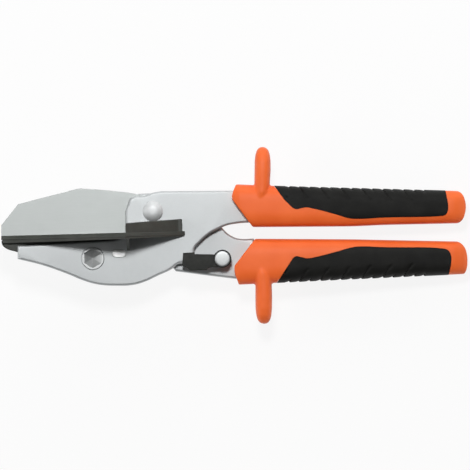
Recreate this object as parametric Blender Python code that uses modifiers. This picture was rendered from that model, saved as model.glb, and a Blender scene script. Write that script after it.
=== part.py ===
"""Mitre shears: hand shears whose straight blade closes on a table wide enough to hold a strip of trim.

Everything is modelled in the frame of the tool: the origin on the main pivot, +X towards the handles,
+Y towards the upper handle, +Z out of the front plate. One empty then lays the whole tool down on
its rear side, where it rests on the rear corner of its table and on the ends of both grips.
Lengths are in metres.
"""

import math

import bpy
import bmesh
from mathutils import Matrix, Vector

# Driving sizes
clearance = 0.0003
overrun = 0.004
blade_reach = 0.08465
blade_thickness = 0.0025
plate_thickness = 0.003
jaw_reach = 0.0754
jaw_drop = 0.0417
plate_rise = 0.0113
plate_tang_reach = 0.104
arm_drop = 0.0382
arm_tang_top_share = 0.576
arm_head_reach = 0.022
arm_tang_reach = 0.105
grip_start = 0.044
grip_length = 0.1314
handle_reach = grip_start + grip_length
grip_half_depth = 0.011
table_reach = 0.0696
table_wing_reach = 0.0375
table_corner = (-0.0151, -0.0121)
table_pitch = math.radians(1.5)
pivot_bolt_radius = 0.004
anvil_bolt_radius = 0.004
anvil_bolt_place = (-0.0335, -0.0265)
latch_pivot_place = (0.0388, -0.0266)
catch_pin_place = (0.01925, -0.02595)

# Layers from front to back, as distances along the pivot
layer_gap = clearance
blade_front = blade_thickness / 2
front_plate_low = blade_front + layer_gap
front_plate_high = front_plate_low + plate_thickness
rear_plate_high = -front_plate_low
rear_plate_low = -front_plate_high
front_face = front_plate_high + clearance
rear_face = rear_plate_low - clearance

# Fineness of round shapes
round_sides = 32
small_round_sides = 20
outline_steps = 4
rim_angle = math.radians(60)
flat_angle = math.radians(0.6)
weld_distance = 0.000002

smooth = "AUTO"
corner = "VECTOR"


# Scene and collections


def clear_scene():
    for obj in list(bpy.data.objects):
        bpy.data.objects.remove(obj)


def new_collection(name):
    collection = bpy.data.collections.new(name)
    bpy.context.scene.collection.children.link(collection)
    return collection


clear_scene()
parts = new_collection("mitre_shears")
cutters = new_collection("cutters")
cutters.hide_render = True


# Materials


def new_material(name, colour, roughness, metallic):
    material = bpy.data.materials.new(name)
    material.use_nodes = True
    shader = material.node_tree.nodes["Principled BSDF"]
    shader.inputs["Base Color"].default_value = (*colour, 1)
    shader.inputs["Roughness"].default_value = roughness
    shader.inputs["Metallic"].default_value = metallic
    material.diffuse_color = (*colour, 1)
    return material


plated_steel = new_material("plated_steel", (0.62, 0.64, 0.65), 0.38, 1)
blade_steel = new_material("blade_steel", (0.53, 0.55, 0.54), 0.3, 1)
spring_steel = new_material("spring_steel", (0.35, 0.35, 0.36), 0.35, 1)
fastener_steel = new_material("fastener_steel", (0.7, 0.71, 0.7), 0.25, 1)
anvil_plastic = new_material("anvil_plastic", (0.028, 0.03, 0.026), 0.5, 0)
latch_plastic = new_material("latch_plastic", (0.026, 0.028, 0.025), 0.5, 0)
orange_plastic = new_material("orange_plastic", (0.84, 0.15, 0.035), 0.42, 0)
soft_black = new_material("soft_black", (0.02, 0.021, 0.02), 0.7, 0)


# Shapes


def spread(shares, left, right, down, up):
    """Outline points from shares of four reaches: left, right, down and up from the origin."""
    points = []
    for x, y, kind in shares:
        across = right if x > 0 else left
        along = up if y > 0 else down
        points.append((x * across, y * along, kind))
    return points


def outset(outline, distance):
    """The outline moved outwards by a distance, square to its sides."""
    places = [Vector((x, y)) for x, y, _ in outline]
    area = sum(a.x * b.y - b.x * a.y for a, b in zip(places, places[1:] + places[:1]))
    side = 1 if area > 0 else -1
    moved = []
    for index, (x, y, kind) in enumerate(outline):
        here = places[index]
        before = (here - places[index - 1]).normalized()
        after = (places[(index + 1) % len(places)] - here).normalized()
        first = Vector((before.y, -before.x)) * side
        second = Vector((after.y, -after.x)) * side
        shift = (first + second) * distance / (1 + first.dot(second))
        moved.append((x + shift.x, y + shift.y, kind))
    return moved


def mirrored(outline):
    """The outline followed by its mirror image across the X axis, as one closed outline."""
    return outline + [(x, -y, kind) for x, y, kind in reversed(outline) if y]


def add_object(name, mesh, material):
    obj = bpy.data.objects.new(name, mesh)
    parts.objects.link(obj)
    if material:
        mesh.materials.clear()
        mesh.materials.append(material)
    return obj


def welded(mesh):
    """Joins loose caps to their walls and dissolves the points that lie on straight lines."""
    shape = bmesh.new()
    shape.from_mesh(mesh)
    bmesh.ops.remove_doubles(shape, verts=shape.verts, dist=weld_distance)
    bmesh.ops.dissolve_limit(
        shape, angle_limit=flat_angle, verts=shape.verts, edges=shape.edges
    )
    bmesh.ops.recalc_face_normals(shape, faces=shape.faces)
    shape.to_mesh(mesh)
    shape.free()
    return mesh


def slab(name, outline, low, high, material=None, seat=None):
    """A flat outline, given thickness from low to high along Z, in the frame of its seat."""
    curve = bpy.data.curves.new(name, "CURVE")
    curve.dimensions = "2D"
    curve.fill_mode = "BOTH"
    curve.extrude = (high - low) / 2
    curve.resolution_u = outline_steps
    spline = curve.splines.new("BEZIER")
    spline.bezier_points.add(len(outline) - 1)
    for point, (x, y, kind) in zip(spline.bezier_points, outline):
        point.co = (x, y, 0)
        point.handle_left_type = kind
        point.handle_right_type = kind
    spline.use_cyclic_u = True
    drawn = bpy.data.objects.new(name + "_outline", curve)
    parts.objects.link(drawn)
    graph = bpy.context.evaluated_depsgraph_get()
    mesh = bpy.data.meshes.new_from_object(drawn.evaluated_get(graph))
    bpy.data.objects.remove(drawn)
    obj = add_object(name, welded(mesh), material)
    lift = Matrix.Translation((0, 0, (low + high) / 2))
    obj.matrix_world = (seat or Matrix.Identity(4)) @ lift
    return obj


def rod(name, radius, low, high, at=(0, 0), material=None, sides=round_sides, seat=None):
    """A round or many-sided bar along Z, from low to high."""
    shape = bmesh.new()
    bmesh.ops.create_cone(
        shape,
        cap_ends=True,
        segments=sides,
        radius1=radius,
        radius2=radius,
        depth=high - low,
    )
    mesh = bpy.data.meshes.new(name)
    shape.to_mesh(mesh)
    shape.free()
    obj = add_object(name, mesh, material)
    place = Matrix.Translation((*at, (low + high) / 2))
    obj.matrix_world = (seat or Matrix.Identity(4)) @ place
    return obj


def block(name, low, high, material=None, seat=None):
    """A box between two opposite corners."""
    size = Vector(high) - Vector(low)
    middle = (Vector(high) + Vector(low)) / 2
    shape = bmesh.new()
    bmesh.ops.create_cube(shape, size=1)
    bmesh.ops.scale(shape, vec=size, verts=shape.verts)
    mesh = bpy.data.meshes.new(name)
    shape.to_mesh(mesh)
    shape.free()
    obj = add_object(name, mesh, material)
    obj.matrix_world = (seat or Matrix.Identity(4)) @ Matrix.Translation(middle)
    return obj


def turned(name, profile, at, material, sides=round_sides, seat=None):
    """A turned piece: the profile, radius and height, runs from its top on the axis to its bottom."""
    mesh = bpy.data.meshes.new(name)
    edges = [(index, index + 1) for index in range(len(profile) - 1)]
    mesh.from_pydata([(radius, 0, height) for radius, height in profile], edges, [])
    obj = add_object(name, mesh, material)
    screw = obj.modifiers.new("Turn", "SCREW")
    screw.steps = sides
    screw.render_steps = sides
    screw.use_merge_vertices = True
    screw.merge_threshold = weld_distance
    screw.use_smooth_shade = True
    obj.matrix_world = (seat or Matrix.Identity(4)) @ Matrix.Translation((*at, 0))
    return obj


def tool_of(obj):
    """Marks an object as a cutter, out of the render."""
    parts.objects.unlink(obj)
    cutters.objects.link(obj)
    obj.hide_render = True
    obj.display_type = "WIRE"


def combine(target, other, operation):
    if other.name in parts.objects:
        tool_of(other)
    modifier = target.modifiers.new(other.name, "BOOLEAN")
    modifier.operation = operation
    modifier.solver = "EXACT"
    modifier.object = other


def cut(target, *others):
    for other in others:
        combine(target, other, "DIFFERENCE")


def join(target, *others):
    for other in others:
        combine(target, other, "UNION")


def keep_common(target, other):
    combine(target, other, "INTERSECT")


def soften(obj, width, segments=2):
    """Rounds the rims of a flat piece."""
    bevel = obj.modifiers.new("Rim", "BEVEL")
    bevel.width = width
    bevel.segments = segments
    bevel.limit_method = "ANGLE"
    bevel.angle_limit = rim_angle
    bevel.use_clamp_overlap = False


def hole(target, radius, at, low, high, sides=round_sides, seat=None):
    name = target.name + "_hole_" + str(len(target.modifiers))
    cut(target, rod(name, radius, low, high, at, sides=sides, seat=seat))


# Front plate: upper handle arm, head and lower jaw in one stamping

frame_plate_shares = (
    (-1.0, -0.465, corner),
    (-1.0, -0.643, corner),
    (-0.814, -0.727, smooth),
    (-0.637, -0.839, smooth),
    (-0.505, -0.935, smooth),
    (-0.406, -0.983, smooth),
    (-0.256, -1.0, smooth),
    (-0.141, -0.988, smooth),
    (-0.061, -0.947, smooth),
    (0.028, -0.863, smooth),
    (0.1, -0.779, smooth),
    (0.135, -0.71, smooth),
    (0.163, -0.7, corner),
    (0.207, -0.695, corner),
    (0.219, -0.66, smooth),
    (0.222, -0.576, smooth),
    (0.225, -0.501, smooth),
    (0.254, -0.416, smooth),
    (0.302, -0.309, smooth),
    (0.35, -0.245, smooth),
    (0.397, -0.195, smooth),
    (0.446, -0.17, smooth),
    (0.493, -0.158, corner),
    (0.577, -0.153, corner),
    (1.0, -0.1, corner),
    (1.0, 0.5, corner),
    (0.625, 0.66, corner),
    (0.56, 0.965, corner),
    (0.417, 1.0, corner),
    (0.045, 0.973, corner),
    (0.0, 0.9, smooth),
    (-0.066, 0.752, smooth),
    (-0.126, 0.717, smooth),
    (-0.174, 0.566, smooth),
    (-0.183, 0.385, smooth),
    (-0.203, 0.03, corner),
    (-0.203, -0.381, corner),
)
plate_rim = 0.0009
key_low = (-0.0223, -0.0254)
key_high = (-0.0153, -0.0218)
key_tail_side = -0.0186
key_tail_low = -0.0252
key_tail_high = -0.0220
key_tail_end = -0.0015
key_recess = 0.0004
anvil_bolt_head_radius = 0.0063
anvil_bolt_head_seat = 0.00255
spring_post_radius = 0.0012
spring_post_place = (0.012, 0.0083)
spring_post_cover = 0.001
catch_pin_radius = 0.0009
catch_pin_height = 0.0016


def frame_plate_outline():
    return spread(
        frame_plate_shares, jaw_reach, plate_tang_reach, jaw_drop, plate_rise
    )


def make_frame_plate():
    plate = slab(
        "frame_plate",
        frame_plate_outline(),
        front_plate_low,
        front_plate_high,
        plated_steel,
    )
    soften(plate, plate_rim)
    low = front_plate_low - overrun
    high = front_plate_high + overrun
    hole(plate, pivot_bolt_radius + clearance, (0, 0), low, high)
    hole(plate, anvil_bolt_radius + clearance, anvil_bolt_place, low, high)
    hole(
        plate,
        anvil_bolt_head_radius + clearance,
        anvil_bolt_place,
        anvil_bolt_head_seat,
        high,
    )
    slot = block(
        "key_slot",
        (key_low[0] - clearance, key_low[1] - clearance, low),
        (key_high[0] + clearance, key_high[1] + clearance, high),
    )
    cut(plate, slot)
    hole(
        plate,
        spring_post_radius + clearance,
        spring_post_place,
        low,
        front_plate_high - spring_post_cover,
        small_round_sides,
    )
    hole(
        plate,
        catch_pin_radius + clearance,
        catch_pin_place,
        low,
        high,
        small_round_sides,
    )
    return plate


def make_catch_pin():
    return rod(
        "catch_pin",
        catch_pin_radius,
        front_plate_low + clearance,
        front_face + catch_pin_height,
        catch_pin_place,
        fastener_steel,
        small_round_sides,
    )


def make_front_spring_post():
    return rod(
        "spring_post_front",
        spring_post_radius,
        clearance,
        front_plate_high - spring_post_cover - clearance,
        spring_post_place,
        fastener_steel,
        small_round_sides,
    )


# Rear plate: lower handle arm, crossing behind the front plate to carry the blade

blade_arm_shares = (
    (-1.0, 0.66, smooth),
    (-1.0, -0.157, smooth),
    (-0.64, -0.275, smooth),
    (-0.36, -0.366, smooth),
    (-0.09, -0.471, smooth),
    (0.038, -0.602, smooth),
    (0.076, -0.733, smooth),
    (0.122, -0.882, corner),
    (0.425, -0.987, smooth),
    (0.476, -1.0, corner),
    (0.59, -0.955, corner),
    (1.0, -0.825, corner),
    (1.0, -arm_tang_top_share, corner),
    (0.571, -0.484, corner),
    (0.543, -0.461, corner),
    (0.535, -0.403, corner),
    (0.456, -0.403, smooth),
    (0.42, -0.359, smooth),
    (0.388, -0.285, smooth),
    (0.34, -0.17, smooth),
    (0.26, -0.04, smooth),
    (0.17, 0.62, smooth),
    (0.076, 0.95, smooth),
    (-0.09, 1.0, smooth),
    (-0.55, 0.92, smooth),
)
arm_head_rise = 0.0098
blade_screw_places = ((-0.0126, 0.0056), (-0.0136, -0.0020))
blade_screw_radius = 0.0016
blade_screw_head_radius = 0.0027
blade_screw_head_height = 0.0016
latch_rivet_radius = 0.002
latch_rivet_head_radius = 0.0041
latch_rivet_tail_radius = 0.0034
latch_rivet_tail_height = 0.0012


def blade_arm_outline():
    return spread(
        blade_arm_shares, arm_head_reach, arm_tang_reach, arm_drop, arm_head_rise
    )


def make_blade_arm():
    arm = slab(
        "blade_arm", blade_arm_outline(), rear_plate_low, rear_plate_high, plated_steel
    )
    soften(arm, plate_rim)
    low = rear_plate_low - overrun
    high = rear_plate_high + overrun
    hole(arm, pivot_bolt_radius + clearance, (0, 0), low, high)
    hole(
        arm,
        latch_rivet_radius + clearance,
        latch_pivot_place,
        low,
        high,
        small_round_sides,
    )
    post = (spring_post_place[0], -spring_post_place[1])
    hole(arm, spring_post_radius + clearance, post, low, high, small_round_sides)
    for place in blade_screw_places:
        hole(arm, blade_screw_radius + clearance, place, low, high, small_round_sides)
    return arm


def make_rear_spring_post():
    return rod(
        "spring_post_rear",
        spring_post_radius,
        rear_plate_low + clearance,
        -clearance,
        (spring_post_place[0], -spring_post_place[1]),
        fastener_steel,
        small_round_sides,
    )


# Blade: a flat steel cheek with its edge ground from both sides

blade_top_shares = (
    (-1.0, -0.6, corner),
    (-0.888, 0.306, corner),
    (-0.484, 1.0, smooth),
    (-0.09, 0.722, smooth),
)
blade_rise = 0.0126
blade_end_drop = 0.0135
blade_heel = -0.009
blade_tuck = 0.0015
blade_edge_land = 0.0004
blade_grind_height = 0.0028
blade_relief_radius = 0.0088
blade_relief_start = math.radians(117)
blade_relief_end = math.radians(232)
blade_relief_points = 5
blade_screw_depth = 0.0022


def blade_outline():
    points = spread(blade_top_shares, blade_reach, 0, blade_end_drop, blade_rise)
    for index in range(blade_relief_points):
        share = index / (blade_relief_points - 1)
        angle = blade_relief_start + (blade_relief_end - blade_relief_start) * share
        x = blade_relief_radius * math.cos(angle)
        y = blade_relief_radius * math.sin(angle)
        ends = index in (0, blade_relief_points - 1)
        points.append((x, y, corner if ends else smooth))
    points.append((blade_heel, edge_height(blade_heel), corner))
    points.append((-blade_reach, edge_height(-blade_reach), corner))
    return points


def edge_height(x):
    """Height of the closed cutting edge: just inside the slot of the table, along its pitch."""
    run = (x - table_corner[0]) * math.tan(table_pitch)
    return table_corner[1] - blade_tuck + run


def make_blade():
    blade = slab("blade", blade_outline(), -blade_front, blade_front, blade_steel)
    grind_angle = math.atan((blade_front - blade_edge_land / 2) / blade_grind_height)
    edge_line = Matrix.Translation((0, edge_height(0), 0))
    edge_line = edge_line @ Matrix.Rotation(table_pitch, 4, "Z")
    for name, side in (("front", 1), ("rear", -1)):
        tilt = Matrix.Rotation(side * grind_angle, 4, "X")
        shift = Matrix.Translation((0, 0, side * blade_edge_land / 2))
        grind = block(
            "blade_grind_" + name,
            (-blade_reach - overrun, -overrun, min(0, side * overrun)),
            (overrun, blade_grind_height + overrun, max(0, side * overrun)),
            seat=edge_line @ shift @ tilt,
        )
        cut(blade, grind)
    for place in blade_screw_places:
        hole(
            blade,
            blade_screw_radius + clearance,
            place,
            -blade_front - overrun,
            -blade_front + blade_screw_depth,
            small_round_sides,
        )
    return blade


def make_blade_screw(number, place):
    head_top = rear_face
    head_bottom = rear_face - blade_screw_head_height
    tip = -blade_front + blade_screw_depth - clearance
    profile = (
        (0, tip),
        (blade_screw_radius, tip),
        (blade_screw_radius, head_top),
        (blade_screw_head_radius, head_top),
        (blade_screw_head_radius, head_bottom + blade_screw_head_height / 3),
        (blade_screw_head_radius - blade_screw_head_height / 3, head_bottom),
        (0, head_bottom),
    )
    screw = turned(
        "blade_screw_" + str(number),
        profile,
        place,
        fastener_steel,
        small_round_sides,
    )
    socket = rod(
        screw.name + "_socket",
        blade_screw_head_radius / 2,
        head_bottom - overrun,
        head_bottom + blade_screw_head_height / 2,
        place,
        sides=6,
    )
    cut(screw, socket)
    return screw


# Anvil: a moulded kite-shaped table on a web that stands behind the jaw of the front plate

table_thickness = 0.0034
table_tip_thickness = 0.0041
table_end_thickness = 0.0028
table_end_half_width = 0.0043
table_end_reach = table_wing_reach - table_end_half_width
table_tip_start = 0.058
table_tip_half_width = 0.0046
table_neck_half_width = 0.0056
blade_slot_depth = 0.002
web_front = blade_front
web_back = rear_plate_low
web_top_tuck = 0.001
web_end = 0.0018
web_drop = 0.0235
web_shares = (
    (-1.0, -0.04, corner),
    (-1.0, -0.179, smooth),
    (-0.977, -0.272, smooth),
    (-0.878, -0.391, smooth),
    (-0.651, -0.583, smooth),
    (-0.437, -0.855, smooth),
    (-0.223, -1.0, smooth),
    (-0.079, -0.928, smooth),
    (-0.0345, -0.762, smooth),
    (-0.0259, -0.04, corner),
)
throat_end = 0.0014
brace_thickness = 0.0018
brace_drop = 0.0098
brace_foot = 0.0015
brace_reach = 0.031
brace_tuck = 0.001
fence_seat_depth = 0.0006
fence_start = 0.0004
fence_margin = 0.0015
fence_back_reach = table_wing_reach - fence_margin
fence_inner_face = 0.00695
fence_end_reach = table_end_reach - fence_margin
fence_high_end = 0.0068
fence_low_end = 0.0053
fence_rim = 0.0004
fence_screw_inset = 0.0065
fence_screw_setback = 0.014
fence_screw_inner_place = (0.016, 0.0105)
fence_screw_places = (
    (fence_screw_inset, fence_back_reach - fence_screw_setback),
    fence_screw_inner_place,
)
fence_screw_radius = 0.00135
fence_screw_head_radius = 0.0026
fence_screw_head_height = 0.0011
fence_screw_length = 0.0058


def table_seat():
    place = Matrix.Translation((*table_corner, 0))
    return place @ Matrix.Rotation(table_pitch, 4, "Z")


def plan_seat():
    """Table plan drawings: X along the table, Y outwards along the pivot, Z down through the table."""
    return table_seat() @ Matrix.Rotation(math.pi / 2, 4, "X")


def table_side_outline():
    return [
        (-table_reach, 0, corner),
        (-table_reach, -table_tip_thickness, corner),
        (-table_tip_start, -table_tip_thickness, corner),
        (0, -table_thickness, corner),
        (table_end_reach, -table_end_thickness, corner),
        (table_end_reach, 0, corner),
    ]


def table_plan_outline():
    return mirrored(
        [
            (table_end_reach, table_end_half_width, corner),
            (fence_start, table_wing_reach - fence_start, corner),
            (-table_tip_start, table_neck_half_width, corner),
            (-table_reach, table_tip_half_width, corner),
        ]
    )


def make_table_brace(name, side):
    """A triangular rib under a wing of the table, in the plane of the fence's front end."""
    inner = front_face + clearance
    root = -table_thickness + brace_tuck
    points = [
        (inner, root),
        (inner, -brace_drop),
        (inner + brace_foot, -brace_drop),
        (brace_reach, root),
    ]
    return slab(
        name,
        [(side * x, y, corner) for x, y in points],
        -fence_start - brace_thickness,
        -fence_start,
        seat=table_seat() @ Matrix.Rotation(-math.pi / 2, 4, "Y"),
    )


def fence_plan_outline(side, inner):
    """The triangular plan of a fence: square to the blade in front, at 45 degrees behind."""
    points = [
        (fence_start, inner),
        (fence_start, fence_back_reach - fence_start),
        (fence_back_reach - fence_inner_face, fence_inner_face),
        (fence_end_reach, fence_inner_face),
        (fence_end_reach, inner),
    ]
    return [(x, side * y, corner) for x, y in points]


def make_anvil():
    anvil = slab(
        "anvil",
        table_side_outline(),
        -table_wing_reach - overrun,
        table_wing_reach + overrun,
        anvil_plastic,
        seat=table_seat(),
    )
    plan = slab(
        "table_plan",
        table_plan_outline(),
        -overrun,
        table_tip_thickness + overrun,
        seat=plan_seat(),
    )
    keep_common(anvil, plan)
    web = slab(
        "anvil_web",
        spread(web_shares, table_reach, 0, web_drop, 0),
        web_back,
        web_front,
        seat=table_seat(),
    )
    join(anvil, web)
    slot_half = front_plate_low
    blade_slot = block(
        "blade_slot",
        (-table_reach - overrun, -blade_slot_depth, -slot_half),
        (overrun, overrun, slot_half),
        seat=table_seat(),
    )
    throat = block(
        "table_throat",
        (-throat_end, -table_tip_thickness - overrun, rear_face),
        (table_end_reach + overrun, overrun, front_face),
        seat=table_seat(),
    )
    cut(anvil, blade_slot, throat)
    for name, side in (("front", 1), ("back", -1)):
        join(anvil, make_table_brace("table_brace_" + name, side))
        seat = slab(
            "fence_seat_" + name,
            outset(fence_plan_outline(side, 0), clearance),
            -overrun,
            fence_seat_depth,
            seat=plan_seat(),
        )
        cut(anvil, seat)
        for x, y in fence_screw_places:
            hole(
                anvil,
                fence_screw_radius + clearance,
                (x, side * y),
                -overrun,
                table_tip_thickness + overrun,
                small_round_sides,
                plan_seat(),
            )
            hole(
                anvil,
                fence_screw_head_radius + clearance,
                (x, side * y),
                table_end_thickness - fence_screw_head_height,
                table_tip_thickness + overrun,
                small_round_sides,
                plan_seat(),
            )
    hole(
        anvil,
        anvil_bolt_radius + clearance,
        anvil_bolt_place,
        web_back - overrun,
        web_front + overrun,
    )
    pocket = block(
        "key_pocket",
        (key_low[0] - clearance, key_tail_low - clearance, key_tail_end - clearance),
        (key_tail_side + clearance, key_tail_high + clearance, web_front + overrun),
    )
    cut(anvil, pocket)
    return anvil


def make_anvil_key():
    key = block(
        "anvil_key",
        (*key_low, front_plate_low + clearance),
        (*key_high, front_plate_high - key_recess),
        fastener_steel,
    )
    tail = block(
        "key_tail",
        (key_low[0], key_tail_low, key_tail_end),
        (key_tail_side, key_tail_high, front_plate_low + plate_thickness / 2),
    )
    join(key, tail)
    return key


def make_fence(name, side):
    inner = front_face
    fence = slab(
        name,
        fence_plan_outline(side, inner),
        -fence_high_end - overrun,
        fence_seat_depth - clearance,
        anvil_plastic,
        seat=plan_seat(),
    )
    slope = math.atan2(
        fence_high_end - fence_low_end, fence_back_reach - fence_inner_face
    )
    lean = Matrix.Translation((fence_start, fence_low_end, 0))
    lean = lean @ Matrix.Rotation(slope, 4, "Z")
    width = fence_back_reach + overrun
    top = block(
        name + "_top",
        (-overrun, 0, -width),
        (fence_back_reach + overrun, fence_high_end + overrun + overrun, width),
        seat=table_seat() @ lean,
    )
    cut(fence, top)
    foot = block(
        name + "_foot_relief",
        (-overrun, -overrun, -width),
        (fence_start + clearance, clearance, width),
        seat=table_seat(),
    )
    cut(fence, foot)
    relief = pivot_head_radius if side > 0 else pivot_washer_radius
    low = front_face - overrun if side > 0 else rear_face - pivot_stack_depth
    high = front_face + pivot_head_height if side > 0 else rear_face + overrun
    hole(fence, relief + 2 * clearance, (0, 0), low, high + clearance)
    for x, y in fence_screw_places:
        hole(
            fence,
            fence_screw_radius + clearance,
            (x, side * y),
            fence_screw_head_seat() - fence_screw_length - clearance,
            overrun,
            small_round_sides,
            plan_seat(),
        )
    return fence


def fence_screw_head_seat():
    return table_end_thickness - fence_screw_head_height - clearance


def make_fence_screw(number, side, place):
    seat = plan_seat()
    top = table_end_thickness - fence_screw_head_height + clearance
    bottom = top + fence_screw_head_height - clearance
    tip = fence_screw_head_seat() - fence_screw_length
    profile = (
        (0, bottom),
        (fence_screw_head_radius - clearance, bottom),
        (fence_screw_head_radius, bottom - clearance),
        (fence_screw_head_radius, top),
        (fence_screw_radius, top),
        (fence_screw_radius, tip),
        (0, tip),
    )
    screw = turned(
        "fence_screw_" + str(number),
        profile,
        (place[0], side * place[1]),
        fastener_steel,
        small_round_sides,
        seat,
    )
    return screw


# Anvil bolt, washer and nut

anvil_bolt_head_top = 0.0050
anvil_bolt_rim = 0.0004
anvil_socket_radius = 0.0057
anvil_socket_depth = 0.0016
anvil_washer_radius = 0.0080
anvil_washer_thickness = 0.0012
anvil_nut_radius = 0.0075
anvil_nut_height = 0.005
bolt_end_show = 0.001


def make_anvil_bolt():
    end = rear_face - anvil_washer_thickness - clearance - anvil_nut_height
    end = end - clearance - bolt_end_show
    head_low = anvil_bolt_head_seat + clearance
    profile = (
        (0, anvil_bolt_head_top),
        (anvil_bolt_head_radius - anvil_bolt_rim, anvil_bolt_head_top),
        (anvil_bolt_head_radius, anvil_bolt_head_top - anvil_bolt_rim),
        (anvil_bolt_head_radius, head_low),
        (anvil_bolt_radius, head_low),
        (anvil_bolt_radius, end + anvil_bolt_rim),
        (anvil_bolt_radius - anvil_bolt_rim, end),
        (0, end),
    )
    bolt = turned("anvil_bolt", profile, anvil_bolt_place, fastener_steel)
    socket = rod(
        "anvil_bolt_socket",
        anvil_socket_radius,
        anvil_bolt_head_top - anvil_socket_depth,
        anvil_bolt_head_top + overrun,
        anvil_bolt_place,
        sides=6,
    )
    socket.matrix_world = socket.matrix_world @ Matrix.Rotation(math.pi / 6, 4, "Z")
    cut(bolt, socket)
    return bolt


def ring(name, outer, inner, low, high, at, material, sides=round_sides):
    piece = rod(name, outer, low, high, at, material, sides)
    hole(piece, inner, at, low - overrun, high + overrun)
    return piece


def make_anvil_washer():
    return ring(
        "anvil_washer",
        anvil_washer_radius,
        anvil_bolt_radius + clearance,
        rear_face - anvil_washer_thickness,
        rear_face,
        anvil_bolt_place,
        fastener_steel,
    )


def make_anvil_nut():
    top = rear_face - anvil_washer_thickness - clearance
    return ring(
        "anvil_nut",
        anvil_nut_radius,
        anvil_bolt_radius + clearance,
        top - anvil_nut_height,
        top,
        anvil_bolt_place,
        fastener_steel,
        6,
    )


# Main pivot: domed bolt, spacer between the plates, washer and nut behind

pivot_head_radius = 0.0056
pivot_head_height = 0.0030
pivot_head_rim = 0.0008
pivot_washer_radius = 0.0066
pivot_washer_thickness = 0.001
pivot_nut_radius = 0.0062
pivot_nut_height = 0.004
pivot_spacer_radius = 0.006
pivot_stack_depth = 0.009
dome_rings = 6


def make_pivot_bolt():
    end = rear_face - pivot_washer_thickness - clearance - pivot_nut_height
    end = end - clearance - bolt_end_show
    rise = pivot_head_height - pivot_head_rim
    dome = (pivot_head_radius**2 + rise**2) / (2 * rise)
    centre = front_face + pivot_head_height - dome
    profile = []
    for index in range(dome_rings + 1):
        radius = pivot_head_radius * index / dome_rings
        profile.append((radius, centre + math.sqrt(dome**2 - radius**2)))
    profile += [
        (pivot_head_radius, front_face),
        (pivot_bolt_radius, front_face),
        (pivot_bolt_radius, end + anvil_bolt_rim),
        (pivot_bolt_radius - anvil_bolt_rim, end),
        (0, end),
    ]
    return turned("pivot_bolt", profile, (0, 0), fastener_steel)


def make_pivot_spacer():
    return ring(
        "pivot_spacer",
        pivot_spacer_radius,
        pivot_bolt_radius + clearance,
        -blade_front,
        blade_front,
        (0, 0),
        fastener_steel,
    )


def make_pivot_washer():
    return ring(
        "pivot_washer",
        pivot_washer_radius,
        pivot_bolt_radius + clearance,
        rear_face - pivot_washer_thickness,
        rear_face,
        (0, 0),
        fastener_steel,
    )


def make_pivot_nut():
    top = rear_face - pivot_washer_thickness - clearance
    return ring(
        "pivot_nut",
        pivot_nut_radius,
        pivot_bolt_radius + clearance,
        top - pivot_nut_height,
        top,
        (0, 0),
        fastener_steel,
        6,
    )


# Return spring: one and a half turns round the spacer, with a leg under each post

spring_wire_radius = 0.0004
spring_coil_radius = 0.0074
spring_start = math.radians(85)
spring_turn = math.radians(550)
spring_leg = 0.0145
spring_turn_points = 36
spring_rise = blade_thickness - 2 * spring_wire_radius


def make_return_spring():
    points = []
    start_way = Vector((math.sin(spring_start), -math.cos(spring_start), 0))
    first = spring_point(0)
    points.append(first + start_way * spring_leg)
    for index in range(spring_turn_points + 1):
        points.append(spring_point(index / spring_turn_points))
    end = spring_start + spring_turn
    end_way = Vector((-math.sin(end), math.cos(end), 0))
    points.append(points[-1] + end_way * spring_leg)
    curve = bpy.data.curves.new("return_spring", "CURVE")
    curve.dimensions = "3D"
    curve.bevel_depth = spring_wire_radius
    curve.bevel_resolution = 2
    curve.use_fill_caps = True
    spline = curve.splines.new("POLY")
    spline.points.add(len(points) - 1)
    for point, place in zip(spline.points, points):
        point.co = (*place, 1)
    spring = bpy.data.objects.new("return_spring", curve)
    curve.materials.append(spring_steel)
    parts.objects.link(spring)
    gap = spring_rise * math.tau / spring_turn - 2 * spring_wire_radius
    print("return spring: least gap between turns, mm:", round(gap * 1000, 2))
    return spring


def spring_point(share):
    angle = spring_start + spring_turn * share
    return Vector(
        (
            spring_coil_radius * math.cos(angle),
            spring_coil_radius * math.sin(angle),
            spring_rise * (0.5 - share),
        )
    )


# Latch: a moulded lever on the rear plate that drops over the catch pin of the front plate

latch_reach = 0.0224
latch_drop = 0.0066
latch_rise = 0.0027
latch_shares = (
    (-0.99, 1.0, corner),
    (-0.71, 0.963, smooth),
    (-0.19, 0.93, corner),
    (0.0, 0.93, corner),
    (0.0, -0.78, corner),
    (-0.36, -0.83, corner),
    (-0.4, -1.0, corner),
    (-0.79, -1.0, corner),
    (-0.84, -0.91, corner),
    (-1.0, -0.58, corner),
)
latch_thickness = 0.0036
latch_rim = 0.0004
latch_eye_radius = 0.005
latch_eye_rise = 0.0004
latch_washer_thickness = 0.0008
latch_notch_low = 0.00115
latch_notch_rise = 0.0009
latch_notch_length = 0.0052
rivet_head_height = 0.0012


def latch_outline():
    x, y = latch_pivot_place
    points = spread(latch_shares, latch_reach, 0, latch_drop, latch_rise)
    return [(x + dx, y + dy, kind) for dx, dy, kind in points]


def latch_eye_low():
    return rear_plate_high + clearance + latch_washer_thickness + clearance


def latch_eye_high():
    return front_face + latch_thickness + latch_eye_rise


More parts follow.
